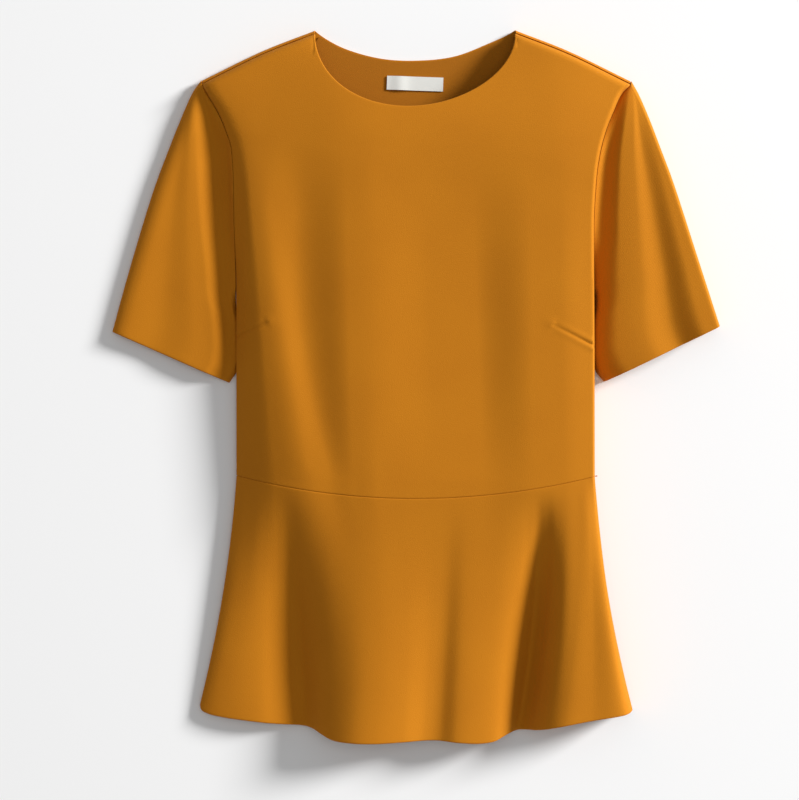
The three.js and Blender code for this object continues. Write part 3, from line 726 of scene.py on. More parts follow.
@dataclass
class Pattern:
    """Lines and heights that the pieces share.

    The shoulder's outline runs through tip, middle and neck. The front rises from its shoulder
    seam over rise_length, with a small roll at the seam itself, and dips to neck_edge at the neck.
    """

    tip: tuple[float, float] = (193.0, 276.6)
    middle: tuple[float, float] = (135.5, 304.4)
    neck: tuple[float, float] = (92.0, 321.3)
    slope: float = math.radians(25.5)
    fold_radius: float = 4.0
    fold_angle: float = math.radians(150)
    waist_y: float = -81.5
    waist_drop: float = 20.0
    waist_half: float = 161.4
    rise_length: float = 100.0
    shoulder_roll: float = 6.0
    shoulder_share: float = 0.6
    neck_edge: float = 31.0
    neck_rise: float = 0.38
    neck_dip: float = 65.0
    neck_soft: float = 5.0
    neck_x: float = -0.5
    neck_y: float = 319.2
    neck_half: float = 91.2
    neck_depth: float = 67.8
    fuller_left: float = 0.07
    back_roll: float = 22.0
    chest_y: float = 215.0
    hip_y: float = -85.0
    left_tip_x: float = -192.9
    right_tip_x: float = 194.4
    lines: tuple[FrontLine, ...] = (
        FrontLine(Side.LEFT, 0, 0, 0, 18, 13, 9),
        FrontLine(Side.LEFT, 13, 23, 36, 22, 25.5, 26),
        FrontLine(None, -132, -122, -92, 24.5, 28, 32.5),
        FrontLine(None, -108, -103, -76, 26.5, 26.5, 33),
        FrontLine(None, -62, -60, -56, 31, 34, 35),
        FrontLine(None, -36, -36, -34, 32.5, 35, 36.5),
        FrontLine(None, 10, 12, 14, 33.5, 33, 36.5),
        FrontLine(None, 50, 55, 60, 34.5, 33, 36.5),
        FrontLine(None, 100, 103, 104, 35.5, 38, 38),
        FrontLine(None, 128, 130, 132, 36, 38, 37.5),
        FrontLine(Side.RIGHT, 0, 0, 0, 35, 35, 35),
    )
    darts: tuple[Dart, ...] = (
        Dart(-161.6, 43.6, -133.3, 56.6),
        Dart(160.6, 34.5, 123.0, 53.9),
    )
    left: tuple[SideRow, ...] = (
        SideRow(262, -187.2, 10, 0.6, 5),
        SideRow(247, -178.2, 12.5, 0.6, 6),
        SideRow(232, -171.5, 14.5, 0.6, 7),
        SideRow(213, -165.6, 15.8, 0.6, 9),
        SideRow(186, -163.9, 16, 0.6, 12),
        SideRow(144, -163.2, 14, 0.6, 14),
        SideRow(90, -161.8, 8.3, 6.3, 13),
        SideRow(50, -161.7, 9.6, 8.8, 10),
        SideRow(-81.5, -161.7, 7.6, 6.7, 8),
    )
    right: tuple[SideRow, ...] = (
        SideRow(264, 186.4, 12, 0.6, 4),
        SideRow(247, 178.2, 16.5, 0.6, 3.5),
        SideRow(228, 170.6, 20, 0.6, 3),
        SideRow(207, 165.0, 22, 0.6, 3),
        SideRow(186, 162.1, 21, 0.6, 3),
        SideRow(144, 160.0, 18.5, 0.6, 3),
        SideRow(90, 160.5, 10.5, 8.5, 3),
        SideRow(50, 160.7, 12, 11.2, 3),
        SideRow(-81.5, 161.1, 9.6, 8.7, 3),
    )

    def __post_init__(self) -> None:
        """Makes the smooth lines from the tables."""
        places = [self.tip, self.middle, self.neck]
        self.outline = SmoothLine([p[0] for p in places], [p[1] for p in places])
        self.fold_length = self.fold_radius * self.fold_angle / math.cos(self.slope)
        self.seam_inside = (
            self.fold_radius * (1 - math.sin(self.fold_angle)) + CLOTH.cad_half + CLOTH.edge_to_edge
        )
        self.sides = {
            side: SideLine(tip_x, float(self.front_shoulder_y(tip_x)), rows)
            for side, tip_x, rows in (
                (Side.LEFT, self.left_tip_x, self.left),
                (Side.RIGHT, self.right_tip_x, self.right),
            )
        }

    def shoulder_y(self, x: Array) -> Array:
        """Outline of the shoulder as seen from above."""
        reach = np.abs(x)
        beyond = reach - np.clip(reach, self.neck[0], self.tip[0])
        return self.outline(reach) - beyond * math.tan(self.slope)

    def fold_y(self, x: Array) -> Array:
        """Line where the back starts to turn over the shoulder."""
        return self.shoulder_y(x) - (self.fold_radius + CLOTH.cad_half) / math.cos(self.slope)

    def front_shoulder_y(self, x: Array) -> Array:
        """Front edge of the shoulder seam, a little inside the outline."""
        return self.shoulder_y(x) - self.seam_inside / math.cos(self.slope)

    def waist(self, x: Array) -> Array:
        """Waist seam: a shallow curve, lowest at the middle."""
        return self.waist_y - self.waist_drop * (1 - np.minimum((x / self.waist_half) ** 2, 1))

    def side_value(self, name: str, x: Array, y: Array) -> Array:
        """One of the side lines' values, from the side that each point is on."""
        left, right = (getattr(self.sides[side], name)(y) for side in Side)
        return np.where(x < 0, left, right)

    def fullness(self, x: Array, y: Array) -> Array:
        """Height of the front away from its edges, across its ridges and troughs."""
        x, y = np.broadcast_arrays(x, y)
        down = np.clip((self.chest_y - y) / (self.chest_y - self.hip_y), 0, 1)
        at, to = [], []
        for line in self.lines:
            start = self.sides[line.start].x(y) if line.start else 0.0
            at.append(start + through_three(line.chest_x, line.bust_x, line.waist_x, down))
            to.append(through_three(line.chest_z, line.bust_z, line.waist_z, down))
        return smooth_across(np.stack(at), np.stack(to), x)

    def front_height(self, x: Array, y: Array) -> Array:
        """Height of the front panel: low at its seams, and dipping at the neck."""
        below = (self.front_shoulder_y(x) - y) * math.cos(self.slope)
        rolled = quarter(below / self.shoulder_roll)
        risen = np.sin(np.clip(below / self.rise_length, 0, 1) * math.pi / 2)
        domed = lerp(TIP_FRONT, self.fullness(x, y), lerp(risen, rolled, self.shoulder_share))

        aside = (x - self.neck_x) / self.neck_half
        down = np.maximum(self.neck_y - y, 0) / self.neck_depth
        reach = np.hypot(aside, down)
        lifted = (down / np.maximum(reach, 0.01)) ** self.neck_rise
        edge = lerp(TIP_FRONT, self.neck_edge, lifted)
        outside = (reach - 1) * self.neck_depth / self.neck_dip
        over = domed - edge
        dip = (over + np.hypot(over, self.neck_soft * rolled)) / 2
        opened = domed - dip * (1 - np.clip(outside, 0, 1)) ** 2

        inside = np.abs(self.side_value("x", x, y)) - np.abs(x)
        share = quarter(inside / self.side_value("roll", x, y))
        return lerp(self.side_value("front", x, y), opened, share)

    def back_point(self, x: Array, y: Array, above: float = 0.0) -> Array:
        """Points of the back: flat, turned up at the sides and over the shoulders.

        Args:
            x: places across.
            y: places up the flat pattern.
            above: height above the back's middle layer.

        Returns:
            The points, with a last axis of 3.
        """
        inside = np.abs(self.side_value("x", x, y)) - np.abs(x)
        rise = self.side_value("back", x, y) - CLOTH.floor_layer
        lift = rise * (1 - quarter(inside / self.back_roll))
        fold_y = self.fold_y(x)
        past = np.maximum(y - fold_y, 0) * math.cos(self.slope)
        angle = past / self.fold_radius
        radius = self.fold_radius - above
        turned = fold_y + radius * np.sin(angle) / math.cos(self.slope)
        height = np.where(past > 0, above + radius * (1 - np.cos(angle)), above + lift)
        return np.stack([x, np.where(past > 0, turned, y), CLOTH.floor_layer + height], axis=-1)


PATTERN = Pattern()

# Share across a bodice panel at which the neck begins
NECK_SHARE = 0.27


def panel_shares(
    roll_share: float, roll_steps: int, marks: Sequence[float], strides: Sequence[float]
) -> Array:
    """Shares across a panel: close together where the sides turn, then even between the marks."""
    turn = roll_share * (1 - np.cos(np.linspace(0, math.pi / 2, roll_steps + 1)))
    stops = [roll_share, *marks, 1 - roll_share]
    return np.concatenate([turn[:-1], spaced(stops, strides), 1 - turn[:-1][::-1]])


def grid_between(top: Array, bottom: Array, left: Array, right: Array, across: Array) -> Array:
    """Grid of flat points between four edges.

    Args:
        top: (columns, 2) points of the top edge.
        bottom: (columns, 2) points of the bottom edge.
        left: (rows, 2) points of the left edge.
        right: (rows, 2) points of the right edge.
        across: the share across of each column.

    Returns:
        (rows, columns, 2) points.
    """
    down = ((left[0, 1] - left[:, 1]) / (left[0, 1] - left[-1, 1]))[:, None]
    left_bow = left - lerp(left[0], left[-1], down)
    right_bow = right - lerp(right[0], right[-1], down)
    body = lerp(top[None], bottom[None], down[:, :, None])
    near_left, near_right = (
        np.clip(1 - share / NECK_SHARE, 0, 1)[None, :, None] for share in (across, 1 - across)
    )
    return body + left_bow[:, None] * near_left + right_bow[:, None] * near_right


def neckline(across: Array) -> tuple[Array, Array]:
    """Share along the neck for each column, and which columns lie on it."""
    share = (across - NECK_SHARE) / (1 - 2 * NECK_SHARE)
    return np.clip(share, 0, 1), (share >= 0) & (share <= 1)


def top_edge(across: Array, shoulder: Any, neck: Array, left_x: float, right_x: float) -> Array:
    """Top edge of a bodice panel in three runs: left shoulder, neck, right shoulder.

    Args:
        across: the share across of each column.
        shoulder: height of the shoulder edge as a function of x.
        neck: (columns, 2) points of the neck's edge.
        left_x: left end of the neck.
        right_x: right end of the neck.

    Returns:
        (columns, 2) points.
    """
    left_tip, right_tip = (PATTERN.sides[side].tip_x for side in Side)
    left = lerp(left_tip, left_x, across / NECK_SHARE)
    right = lerp(right_tip, right_x, (1 - across) / NECK_SHARE)
    x = np.where(across < 0.5, left, right)
    on_shoulder = np.stack([x, shoulder(x)], axis=1)
    return np.where(neckline(across)[1][:, None], neck, on_shoulder)


def side_points(side: Side, rows: Array) -> Array:
    """(rows, 2) points of a side line."""
    return np.stack([PATTERN.sides[side].x(rows), rows], axis=1)


@dataclass(frozen=True)
class Cut:
    """Cut piece laid flat, in metres: its rectangle, and its area where that is smaller."""

    width: float
    length: float
    area: float | None = None


def dress(
    piece: bpy.types.Object,
    material: bpy.types.Material,
    slot: Slot,
    cut: Cut,
) -> None:
    """Gives a sheet of cloth its finish and place in the frame, in the room of its CAD node.

    Args:
        piece: the sheet, named as its CAD node with _cloth.
        material: its finish.
        slot: the record's slot; not used.
        cut: its cloth laid flat; not used.
    """
    piece.data.materials.append(material)
    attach(piece, "root")
    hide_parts(piece.name.removesuffix("_cloth"))
    LOG.info("%s: %d faces", piece.name, len(piece.data.polygons))


@dataclass(frozen=True)
class Bodice:
    """Front and back bodice panels.

    A turn is the share of a panel's width that each side's turn takes, and its columns. Strides
    are in millimetres, a panel's width being taken as front_width or back_width.
    """

    crepe: bpy.types.Material
    front_cut: Cut = Cut(0.40, 0.43, 0.134)
    back_cut: Cut = Cut(0.40, 0.43, 0.133)
    upper_rows: int = 96
    lower_marks: tuple[float, ...] = (66.0, 27.0, -74.0)
    lower_strides: tuple[float, ...] = (0.9, 2.1, 1.0)
    front_width: float = 330.0
    front_turn: tuple[float, int] = (0.044, 12)
    neck_stride: float = 1.56
    neck_hem: tuple[float, float] = (0.55, 1.5)
    turned_columns: int = 14
    back_width: float = 300.0
    back_turn: tuple[float, int] = (0.068, 10)
    back_strides: tuple[float, float] = (0.8, 2.6)
    normal_step: float = 0.3
    neck_back: tuple[tuple[float, float], ...] = (
        (-91.7, 328.6),
        (-90.6, 322.0),
        (-85.5, 317.3),
        (-64.8, 305.9),
        (-31.3, 296.6),
        (2.0, 294.8),
        (35.8, 298.7),
        (67.0, 310.6),
        (85.5, 319.2),
        (90.0, 323.0),
        (90.9, 328.6),
    )

    @property
    def back_neck(self) -> Array:
        """The back neck's points, lying flat."""
        return np.array([(*point, 0.0) for point in self.neck_back])

    def side_rows(self, top: float, bottom: float) -> Array:
        """Heights of the rows: closer at the darts and the waist."""
        lower = spaced([*self.lower_marks, bottom], self.lower_strides)
        return np.concatenate([np.linspace(top, lower[0], self.upper_rows)[:-1], lower])

    def turn_top(self, grid: Array, profile: Array) -> Array:
        """Carries the front on past its shoulders and its neck, where it is turned in.

        Args:
            grid: (rows, columns, 3) points of the front.
            profile: (count, 2) steps past the edge and towards the inside, in millimetres.

        Returns:
            The grid with the turned rows on top.
        """
        pattern = PATTERN
        edge = grid[0]
        x, y = edge[:, 0], edge[:, 1]
        step = self.normal_step
        slope_x, slope_y = (
            (pattern.front_height(x + dx, y + dy) - pattern.front_height(x - dx, y - dy)) / (2 * step)
            for dx, dy in ((step, 0), (0, step))
        )
        onward = np.gradient(edge[:, :2], axis=0)
        onward = np.stack([-onward[:, 1], onward[:, 0]], axis=1)
        onward /= np.linalg.norm(onward, axis=1, keepdims=True)
        climb = onward[:, 0] * slope_x + onward[:, 1] * slope_y
        past = np.concatenate([onward, np.clip(climb, -1, 1)[:, None]], axis=1)
        past /= np.linalg.norm(past, axis=1, keepdims=True)
        inward = np.stack([slope_x.clip(-1, 1), slope_y.clip(-1, 1), -np.ones_like(x)], axis=1)
        inward /= np.linalg.norm(inward, axis=1, keepdims=True)
        rows = [edge + past * out + inward * deep for out, deep in profile]
        return np.concatenate([np.stack(rows[::-1]), grid])

    def front_grid(self) -> Array:
        """Points of the front panel, without what is turned in."""
        strides = np.array([CLOTH.stride, self.neck_stride, CLOTH.stride]) / self.front_width
        across = panel_shares(*self.front_turn, [NECK_SHARE, 1 - NECK_SHARE], strides)
        pattern = PATTERN
        left_x = pattern.neck_x - pattern.neck_half
        right_x = pattern.neck_x + pattern.neck_half
        share, _ = neckline(across)
        angle = math.pi * share
        depth = pattern.neck_depth * np.sin(angle) * (1 + pattern.fuller_left * np.cos(angle))
        ends = lerp(pattern.front_shoulder_y(left_x), pattern.front_shoulder_y(right_x), share)
        neck = np.stack([pattern.neck_x - pattern.neck_half * np.cos(angle), ends - depth], axis=1)
        top = top_edge(across, pattern.front_shoulder_y, neck, left_x, right_x)

        back = CLOTH.seam_back
        bottom_y = pattern.waist_y + back
        left, right = (
            side_points(side, self.side_rows(pattern.sides[side].tip_y, bottom_y)) for side in Side
        )
        x = lerp(left[-1, 0], right[-1, 0], across)
        bottom = np.stack([x, pattern.waist(x) + back], axis=1)
        flat = grid_between(top, bottom, left, right, across)
        x, y = flat[..., 0], flat[..., 1]
        height = pattern.front_height(x, y) + sum(dart.at(x, y) for dart in pattern.darts)
        return np.concatenate([flat, height[..., None]], axis=-1)

    def front(self) -> bpy.types.Object:
        """Makes the front panel, turned in along its seams and its neck."""
        grid = self.front_grid()
        seam = seam_profile(CLOTH.seam_roll, CLOTH.allowance)
        grid = turn_edge(grid, Edge.BOTTOM, seam, -1)
        neck = hem_profile(*self.neck_hem)
        grid = self.turn_top(grid, neck)
        flat = plan_map(grid, self.turned_columns, (len(neck), len(seam)))
        piece = cloth_mesh("bodice_front_cloth", grid, CLOTH.thickness, flat)
        dress(piece, self.crepe, Slot.CREPE, self.front_cut)
        return piece

    def back_grid(self) -> Array:
        """Points of the back panel, without what is turned in."""
        pattern = PATTERN
        strides = [CLOTH.stride / self.back_width] * 3
        across = panel_shares(*self.back_turn, [NECK_SHARE, 1 - NECK_SHARE], strides)
        share, _ = neckline(across)
        neck = through_points(self.back_neck, share * (len(self.back_neck) - 1))[:, :2]
        ends = self.neck_back[0][0], self.neck_back[-1][0]

        def shoulder(x: Array) -> Array:
            """Edge of the flat pattern at the shoulders."""
            return pattern.fold_y(x) + pattern.fold_length

        top = top_edge(across, shoulder, neck, *ends)
        bottom_y = pattern.waist_y + CLOTH.seam_back
        sides = []
        for side in Side:
            fold_y = float(pattern.fold_y(pattern.sides[side].tip_x))
            rows = spaced([fold_y + pattern.fold_length, fold_y, bottom_y], self.back_strides)
            sides.append(side_points(side, rows))
        x = lerp(sides[0][-1, 0], sides[1][-1, 0], across)
        bottom = np.stack([x, np.full_like(x, bottom_y)], axis=1)
        flat = grid_between(top, bottom, *sides, across)
        return pattern.back_point(flat[..., 0], flat[..., 1])

    def back(self) -> bpy.types.Object:
        """Makes the back panel, turned in at the waist."""
        seam = seam_profile(CLOTH.seam_roll, CLOTH.allowance)
        grid = turn_edge(self.back_grid(), Edge.BOTTOM, seam, 1)
        piece = cloth_mesh("bodice_back_cloth", grid, CLOTH.thickness)
        dress(piece, self.crepe, Slot.CREPE, self.back_cut)
        return piece


@dataclass(frozen=True)
class NeckFinish:
    """Back neck facing, and the blank label on it.

    The facing runs from the share start of the back neck to the same share before its end, and
    grows over the share taper from end_depth of its depth to the whole.
    """

    # inside: the ochre crepe darkened as painted shade, for the shaded inside of the neck.
    inside: bpy.types.Material
    # satin: the label's white, toned down as painted shade.
    satin: bpy.types.Material
    facing_cut: Cut = Cut(0.185, 0.075, 0.0093)
    label_cut: Cut = Cut(0.051, 0.0126)
    depth: float = 50.0
    first: float = 1.5
    start: float = 0.19
    end_depth: float = 0.6
    taper: float = 0.09
    above: float = 1.4
    facing_size: tuple[int, int] = (26, 110)
    label_cloth: float = 0.5
    label_x: float = -0.4
    label_y: float = 273.6
    label_z: float = 3.3
    label_width: float = 51.0
    label_depth: float = 12.6
    label_turn: float = -0.035
    label_size: tuple[int, int] = (30, 120)
    ripple: float = 0.9
    ripple_x: float = -14.0
    ripple_width: float = 7.0

    def facing(self, back_neck: Array) -> bpy.types.Object:
        """Makes the facing: a band inside the neck, on the back panel."""
        share = np.linspace(self.start, 1 - self.start, self.facing_size[1])
        place = share * (len(back_neck) - 1)
        step = 1e-3
        point = through_points(back_neck, place)
        tangent = through_points(back_neck, place + step) - through_points(back_neck, place - step)
        tangent /= np.linalg.norm(tangent, axis=1, keepdims=True)
        inward = np.stack([tangent[:, 1], -tangent[:, 0]], axis=1)
        from_end = np.clip((np.minimum(share, 1 - share) - self.start) / self.taper, 0, 1)
        depth = self.depth * lerp(self.end_depth, 1, np.sin(from_end * math.pi / 2))
        down = np.linspace(0, 1, self.facing_size[0])[:, None]
        reach = lerp(self.first, depth[None], down)
        flat = point[None, :, :2] + inward[None] * reach[..., None]
        grid = PATTERN.back_point(flat[..., 0], flat[..., 1], self.above)
        piece = cloth_mesh("neck_facing_cloth", grid, CLOTH.thickness)
        dress(piece, self.inside, Slot.CREPE_INSIDE, self.facing_cut)
        return piece

    def label(self) -> bpy.types.Object:
        """Makes the label, with a ripple near its left end."""
        along = np.linspace(-0.5, 0.5, self.label_size[1])[None] * self.label_width
        down = np.linspace(0.5, -0.5, self.label_size[0])[:, None] * self.label_depth
        along, down = np.broadcast_arrays(along, down)
        x = along * math.cos(self.label_turn) - down * math.sin(self.label_turn)
        y = along * math.sin(self.label_turn) + down * math.cos(self.label_turn)
        z = self.label_z + self.ripple * bell(along - self.ripple_x, self.ripple_width)
        grid = np.stack([self.label_x + x, self.label_y + y, z], axis=-1)
        piece = cloth_mesh("neck_label_cloth", grid, self.label_cloth)
        dress(piece, self.satin, Slot.LABEL, self.label_cut)
        return piece


@dataclass(frozen=True)
class Flute:
    """One station of the front peplum: x at the waist, x and height half way, and the hem."""

    waist: float
    middle: float
    middle_z: float
    hem: float
    hem_y: float
    hem_z: float


@dataclass(frozen=True)
class Peplum:
    """Front peplum with its flutes, and the plain back peplum under it.

    Rows are close together down to the share seam_zone, and the waist seam's own height fades out
    down the panel as a power, seam_fade.
    """

    crepe: bpy.types.Material
    front_cut: Cut = Cut(0.50, 0.29, 0.09)
    back_cut: Cut = Cut(0.43, 0.27, 0.083)
    flutes: tuple[Flute, ...] = (
        Flute(-161.7, -173.6, 6.2, -195.0, -288.8, 4.2),
        Flute(-161.0, -172.6, 8.2, -193.8, -293.2, 5.6),
        Flute(-157.0, -167.5, 10.6, -187.0, -296.5, 8),
        Flute(-149.0, -158.0, 12.6, -173.0, -299.4, 10.5),
        Flute(-140.0, -147.0, 13.4, -155.0, -301.8, 12.2),
        Flute(-134.0, -137.0, 12.8, -138.0, -303.9, 12.2),
        Flute(-128.5, -129.0, 11.2, -128.0, -304.9, 10.8),
        Flute(-123.5, -121.0, 9.2, -118.0, -305.7, 8.6),
        Flute(-117.0, -112.0, 7.4, -107.0, -306.4, 6.2),
        Flute(-111.0, -105.5, 9.5, -100.0, -307.2, 7),
        Flute(-104.5, -97.5, 15.5, -93.0, -309.0, 12.5),
        Flute(-97.0, -88.5, 21.5, -86.0, -312.5, 20),
        Flute(-87.0, -75.0, 28, -75.0, -317.6, 27.5),
        Flute(-70.0, -54.0, 33.5, -58.0, -319.7, 33.5),
        Flute(-46.0, -32.0, 34.5, -38.0, -320.2, 34.5),
        Flute(-14.0, -8.0, 32, -12.0, -319.2, 30.5),
        Flute(18.0, 15.0, 27.5, 8.0, -318.4, 24),
        Flute(31.0, 27.0, 26.5, 20.5, -318.4, 23),
        Flute(46.0, 41.0, 28.5, 36.0, -320.0, 26.5),
        Flute(68.0, 63.0, 27, 57.0, -321.1, 25.5),
        Flute(84.0, 79.5, 24, 71.0, -319.4, 22.5),
        Flute(93.5, 91.0, 19.5, 78.5, -316.0, 18.5),
        Flute(101.5, 100.0, 13.5, 86.0, -312.7, 12.5),
        Flute(109.5, 108.0, 9, 93.5, -310.6, 7),
        Flute(116.5, 115.0, 15.5, 100.5, -309.9, 11.5),
        Flute(124.0, 122.5, 27, 108.0, -309.2, 21.5),
        Flute(133.0, 131.5, 35, 117.5, -307.4, 30.5),
        Flute(143.0, 144.0, 37.5, 132.0, -304.4, 35.5),
        Flute(152.5, 157.5, 37, 158.0, -299.5, 34.5),
        Flute(160.0, 170.0, 35.5, 187.5, -294.7, 31.5),
        Flute(161.0, 172.4, 24, 194.5, -292.4, 20),
        Flute(161.1, 172.6, 9.8, 195.2, -291.4, 5.2),
    )
    flute_ease: float = 1.3
    seam_zone: float = 0.04
    seam_fade: float = 8.0
    row_strides: tuple[float, float] = (0.004, 0.0095)
    back_y: float = -289.0
    back_drop: float = 15.0
    back_side: float = 3.0
    back_ease: float = 0.8
    back_rows: int = 90
    back_turn: tuple[float, int] = (0.062, 10)
    back_stride: float = 0.007

    def front_grid(self) -> Array:
        """Points of the front panel, without what is turned in."""
        table = {
            item.name: np.array([getattr(flute, item.name) for flute in self.flutes])[None]
            for item in fields(Flute)
        }
        down = spaced([0, self.seam_zone, 1], self.row_strides)[:, None]
        top_y = PATTERN.waist(table["waist"]) - CLOTH.seam_back
        top_z = PATTERN.front_height(table["waist"], top_y)
        stations = np.stack(
            [
                through_three(table["waist"], table["middle"], table["hem"], down),
                lerp(top_y, table["hem_y"], down),
                through_three(top_z, table["middle_z"], table["hem_z"], down**self.flute_ease),
            ],
            axis=-1,
        )
        lengths = np.linalg.norm(np.diff(stations, axis=1), axis=-1).max(axis=0)
        places = spaced(range(len(self.flutes)), [CLOTH.stride / length for length in lengths])
        grid = through_points(stations, places)
        seam_z = PATTERN.front_height(grid[0, :, 0], PATTERN.waist(grid[0, :, 0]))
        grid[..., 2] += (seam_z - grid[0, :, 2])[None] * (1 - down) ** self.seam_fade
        return grid

    def front(self) -> bpy.types.Object:
        """Makes the front panel, with its seam and its hem turned in."""
        grid = self.front_grid()
        grid = turn_edge(grid, Edge.TOP, seam_profile(CLOTH.seam_roll, CLOTH.allowance), -1)
        grid = turn_edge(grid, Edge.BOTTOM, hem_profile(CLOTH.hem_roll, CLOTH.hem_depth), -1)
        piece = cloth_mesh("peplum_front_cloth", grid, CLOTH.thickness)
        dress(piece, self.crepe, Slot.CREPE, self.front_cut)
        return piece

    def back(self) -> bpy.types.Object:
        """Makes the back panel, flat on the floor, with its seam and its hem turned in."""
        first, last = self.flutes[0], self.flutes[-1]
        down = np.linspace(0, 1, self.back_rows)[:, None]
        share = panel_shares(*self.back_turn, [], [self.back_stride])[None]
        left = through_three(first.waist, first.middle, first.hem, down)
        right = through_three(last.waist, last.middle, last.hem, down)
        x = lerp(left, right, share)
        hem_y = self.back_y - self.back_drop * np.sqrt(np.sin(share * math.pi).clip(0))
        y = lerp(PATTERN.waist_y - CLOTH.seam_back, hem_y, down)
        inside = np.minimum(x - left, right - x)
        top = PATTERN.sides[Side.LEFT].back(PATTERN.waist_y)
        rise = lerp(top, self.back_side, down**self.back_ease) - CLOTH.floor_layer
        z = CLOTH.floor_layer + rise * (1 - quarter(inside / PATTERN.back_roll))
        grid = np.stack([x, y, z], axis=-1)
        grid = turn_edge(grid, Edge.TOP, seam_profile(CLOTH.seam_roll, CLOTH.allowance), 1)
        grid = turn_edge(grid, Edge.BOTTOM, hem_profile(CLOTH.hem_roll, CLOTH.hem_depth), 1)
        piece = cloth_mesh("peplum_back_cloth", grid, CLOTH.thickness)
        dress(piece, self.crepe, Slot.CREPE, self.back_cut)
        return piece


@dataclass(frozen=True)
class SleeveFold:
    """Fold of a sleeve: place across it and height, at the cap and at the cuff."""

    cap_at: float
    cap_z: float
    cuff_at: float
    cuff_z: float


@dataclass(frozen=True)
class Sleeve:
    """A sleeve in one piece, from the front armhole edge over the outer fold to the back edge.

    row_points says how many points each row has where the front layer is level, where it turns
    to the outer fold, where the back layer turns, and where it lies flat.
    """

    side: Side
    front_roll: float
    outer: tuple[tuple[float, float], ...]
    under: tuple[tuple[float, float, float], ...]
    folds: tuple[SleeveFold, ...]
    cut: Cut = Cut(0.25, 0.28, 0.045)
    edge_height: float = 4.3
    edges_apart: float = 1.5
    back_roll: float = 5.0
    widest_front_roll: float = 0.6
    widest_back_roll: float = 0.5
    cap_length: float = 0.3
    fold_ease: float = 1.7
    back_lift: float = 0.3
    row_points: tuple[int, int, int, int] = (52, 12, 8, 40)
    least_hem: float = 0.45
    hem_growth: float = 0.12

    def edges(self) -> tuple[Array, Array, Array]:
        """Front and back edges row by row, and how far down the sleeve each row is.

        Returns:
            (rows, 3) points of the front edge, the same of the back edge, and the rows' shares.
        """
        line = PATTERN.sides[self.side]
        sign = self.side.value
        rows = spaced([line.tip_y, ARMPIT_Y], [CLOTH.stride])
        slope = (line.x(rows + 1) - line.x(rows - 1)) / 2
        outward = np.stack([np.full_like(slope, sign), -sign * slope], axis=1)
        outward /= np.linalg.norm(outward, axis=1, keepdims=True)
        back_rows = np.minimum(rows, PATTERN.fold_y(line.tip_x))
        lifted = np.clip((line.back(back_rows) - CLOTH.floor_layer) / (4 * CLOTH.cad_half), 0, 1)

        def beside(heights: Array, step: Any, z: Array) -> Array:
            """Edge points a step outside the side line."""
            flat = np.stack([line.x(heights), heights], axis=1) + outward * step
            return np.concatenate([flat, z[:, None]], axis=1)

        front = beside(rows, CLOTH.seam_gap + CLOTH.cad_half, line.front(rows))
        back = beside(
            back_rows, (CLOTH.seam_gap + lifted * CLOTH.cad_half)[:, None], line.back(back_rows)
        )
        under = np.array(self.under)
        known = np.concatenate([front[-2:], under])
        known_back = np.concatenate([back[-2:], under - [0, 0, self.edges_apart]])
        lower = spaced([ARMPIT_Y, under[-1, 1]], [CLOTH.stride])[1:]

        def carried_on(edge: Array, table: Array) -> Array:
            """The edge, with the rows below the armpit added from a table of points."""
            x, z = (SmoothLine(table[:, 1], table[:, axis])(lower) for axis in (0, 2))
            return np.concatenate([edge, np.stack([x, lower, z], axis=1)])

        front, back = carried_on(front, known), carried_on(back, known_back)
        length = np.concatenate([[0], np.cumsum(np.linalg.norm(np.diff(front, axis=0), axis=1))])
        return front, back, length / length[-1]

    def row(self, front: Array, back: Array, outer: Array, down: float) -> Array:
        """One row of the sleeve, from the front edge over the outer fold to the back edge.

        Args:
            front: point of the front edge.
            back: point of the back edge.
            outer: point of the outer fold.
            down: how far down the sleeve the row is.

        Returns:
            The row's points, from the lowest x up.
        """
        flat_points, turn_points, under_points, back_points = self.row_points
        width = math.hypot(front[0] - outer[0], front[1] - outer[1])
        growth = math.sin(min(down / self.cap_length, 1) * math.pi / 2)
        eased = 1 - (1 - down) ** self.fold_ease
        at = [0.0] + [lerp(f.cap_at, f.cuff_at, eased) for f in self.folds] + [1.0]
        tall = [lerp(front[2], lerp(f.cap_z, f.cuff_z, down), growth) for f in self.folds]
        height = SmoothLine(at, [front[2], *tall, tall[-1]])

        roll = min(self.front_roll / width, self.widest_front_roll)
        level = np.linspace(0, 1 - roll, flat_points)
        turning = 1 - roll * (1 - np.sin(np.linspace(0, math.pi / 2, turn_points)[1:]))
        share = np.concatenate([level, turning])
        rise = quarter((1 - share) / roll)
        front_layer = lerp(front[None], outer[None], share[:, None])
        front_layer[:, 2] = lerp(self.edge_height, height(share), rise)

        roll = min(self.back_roll / width, self.widest_back_roll)
        under = roll * (1 - np.cos(np.linspace(0, math.pi / 2, under_points)[1:]))
        share = np.concatenate([under, np.linspace(roll, 1, back_points)[1:]])
        turn = (self.edge_height - CLOTH.floor_layer) * (1 - quarter(share / roll))
        near_edge = np.clip((share - 1 + self.back_lift) / self.back_lift, 0, 1)
        lift = (back[2] - CLOTH.floor_layer) * near_edge**2
        back_layer = lerp(outer[None], back[None], share[:, None])
        back_layer[:, 2] = CLOTH.floor_layer + turn + lift
        points = np.concatenate([front_layer, back_layer])
        return points[::-1] if self.side is Side.LEFT else points

    def grid(self) -> Array:
        """Points of the sleeve, without what is turned in."""
        front, back, down = self.edges()
        outer_points = np.array([(*point, self.edge_height) for point in self.outer])
        outer = along_curve(outer_points, down)
        return np.stack([self.row(*points) for points in zip(front, back, outer, down)])

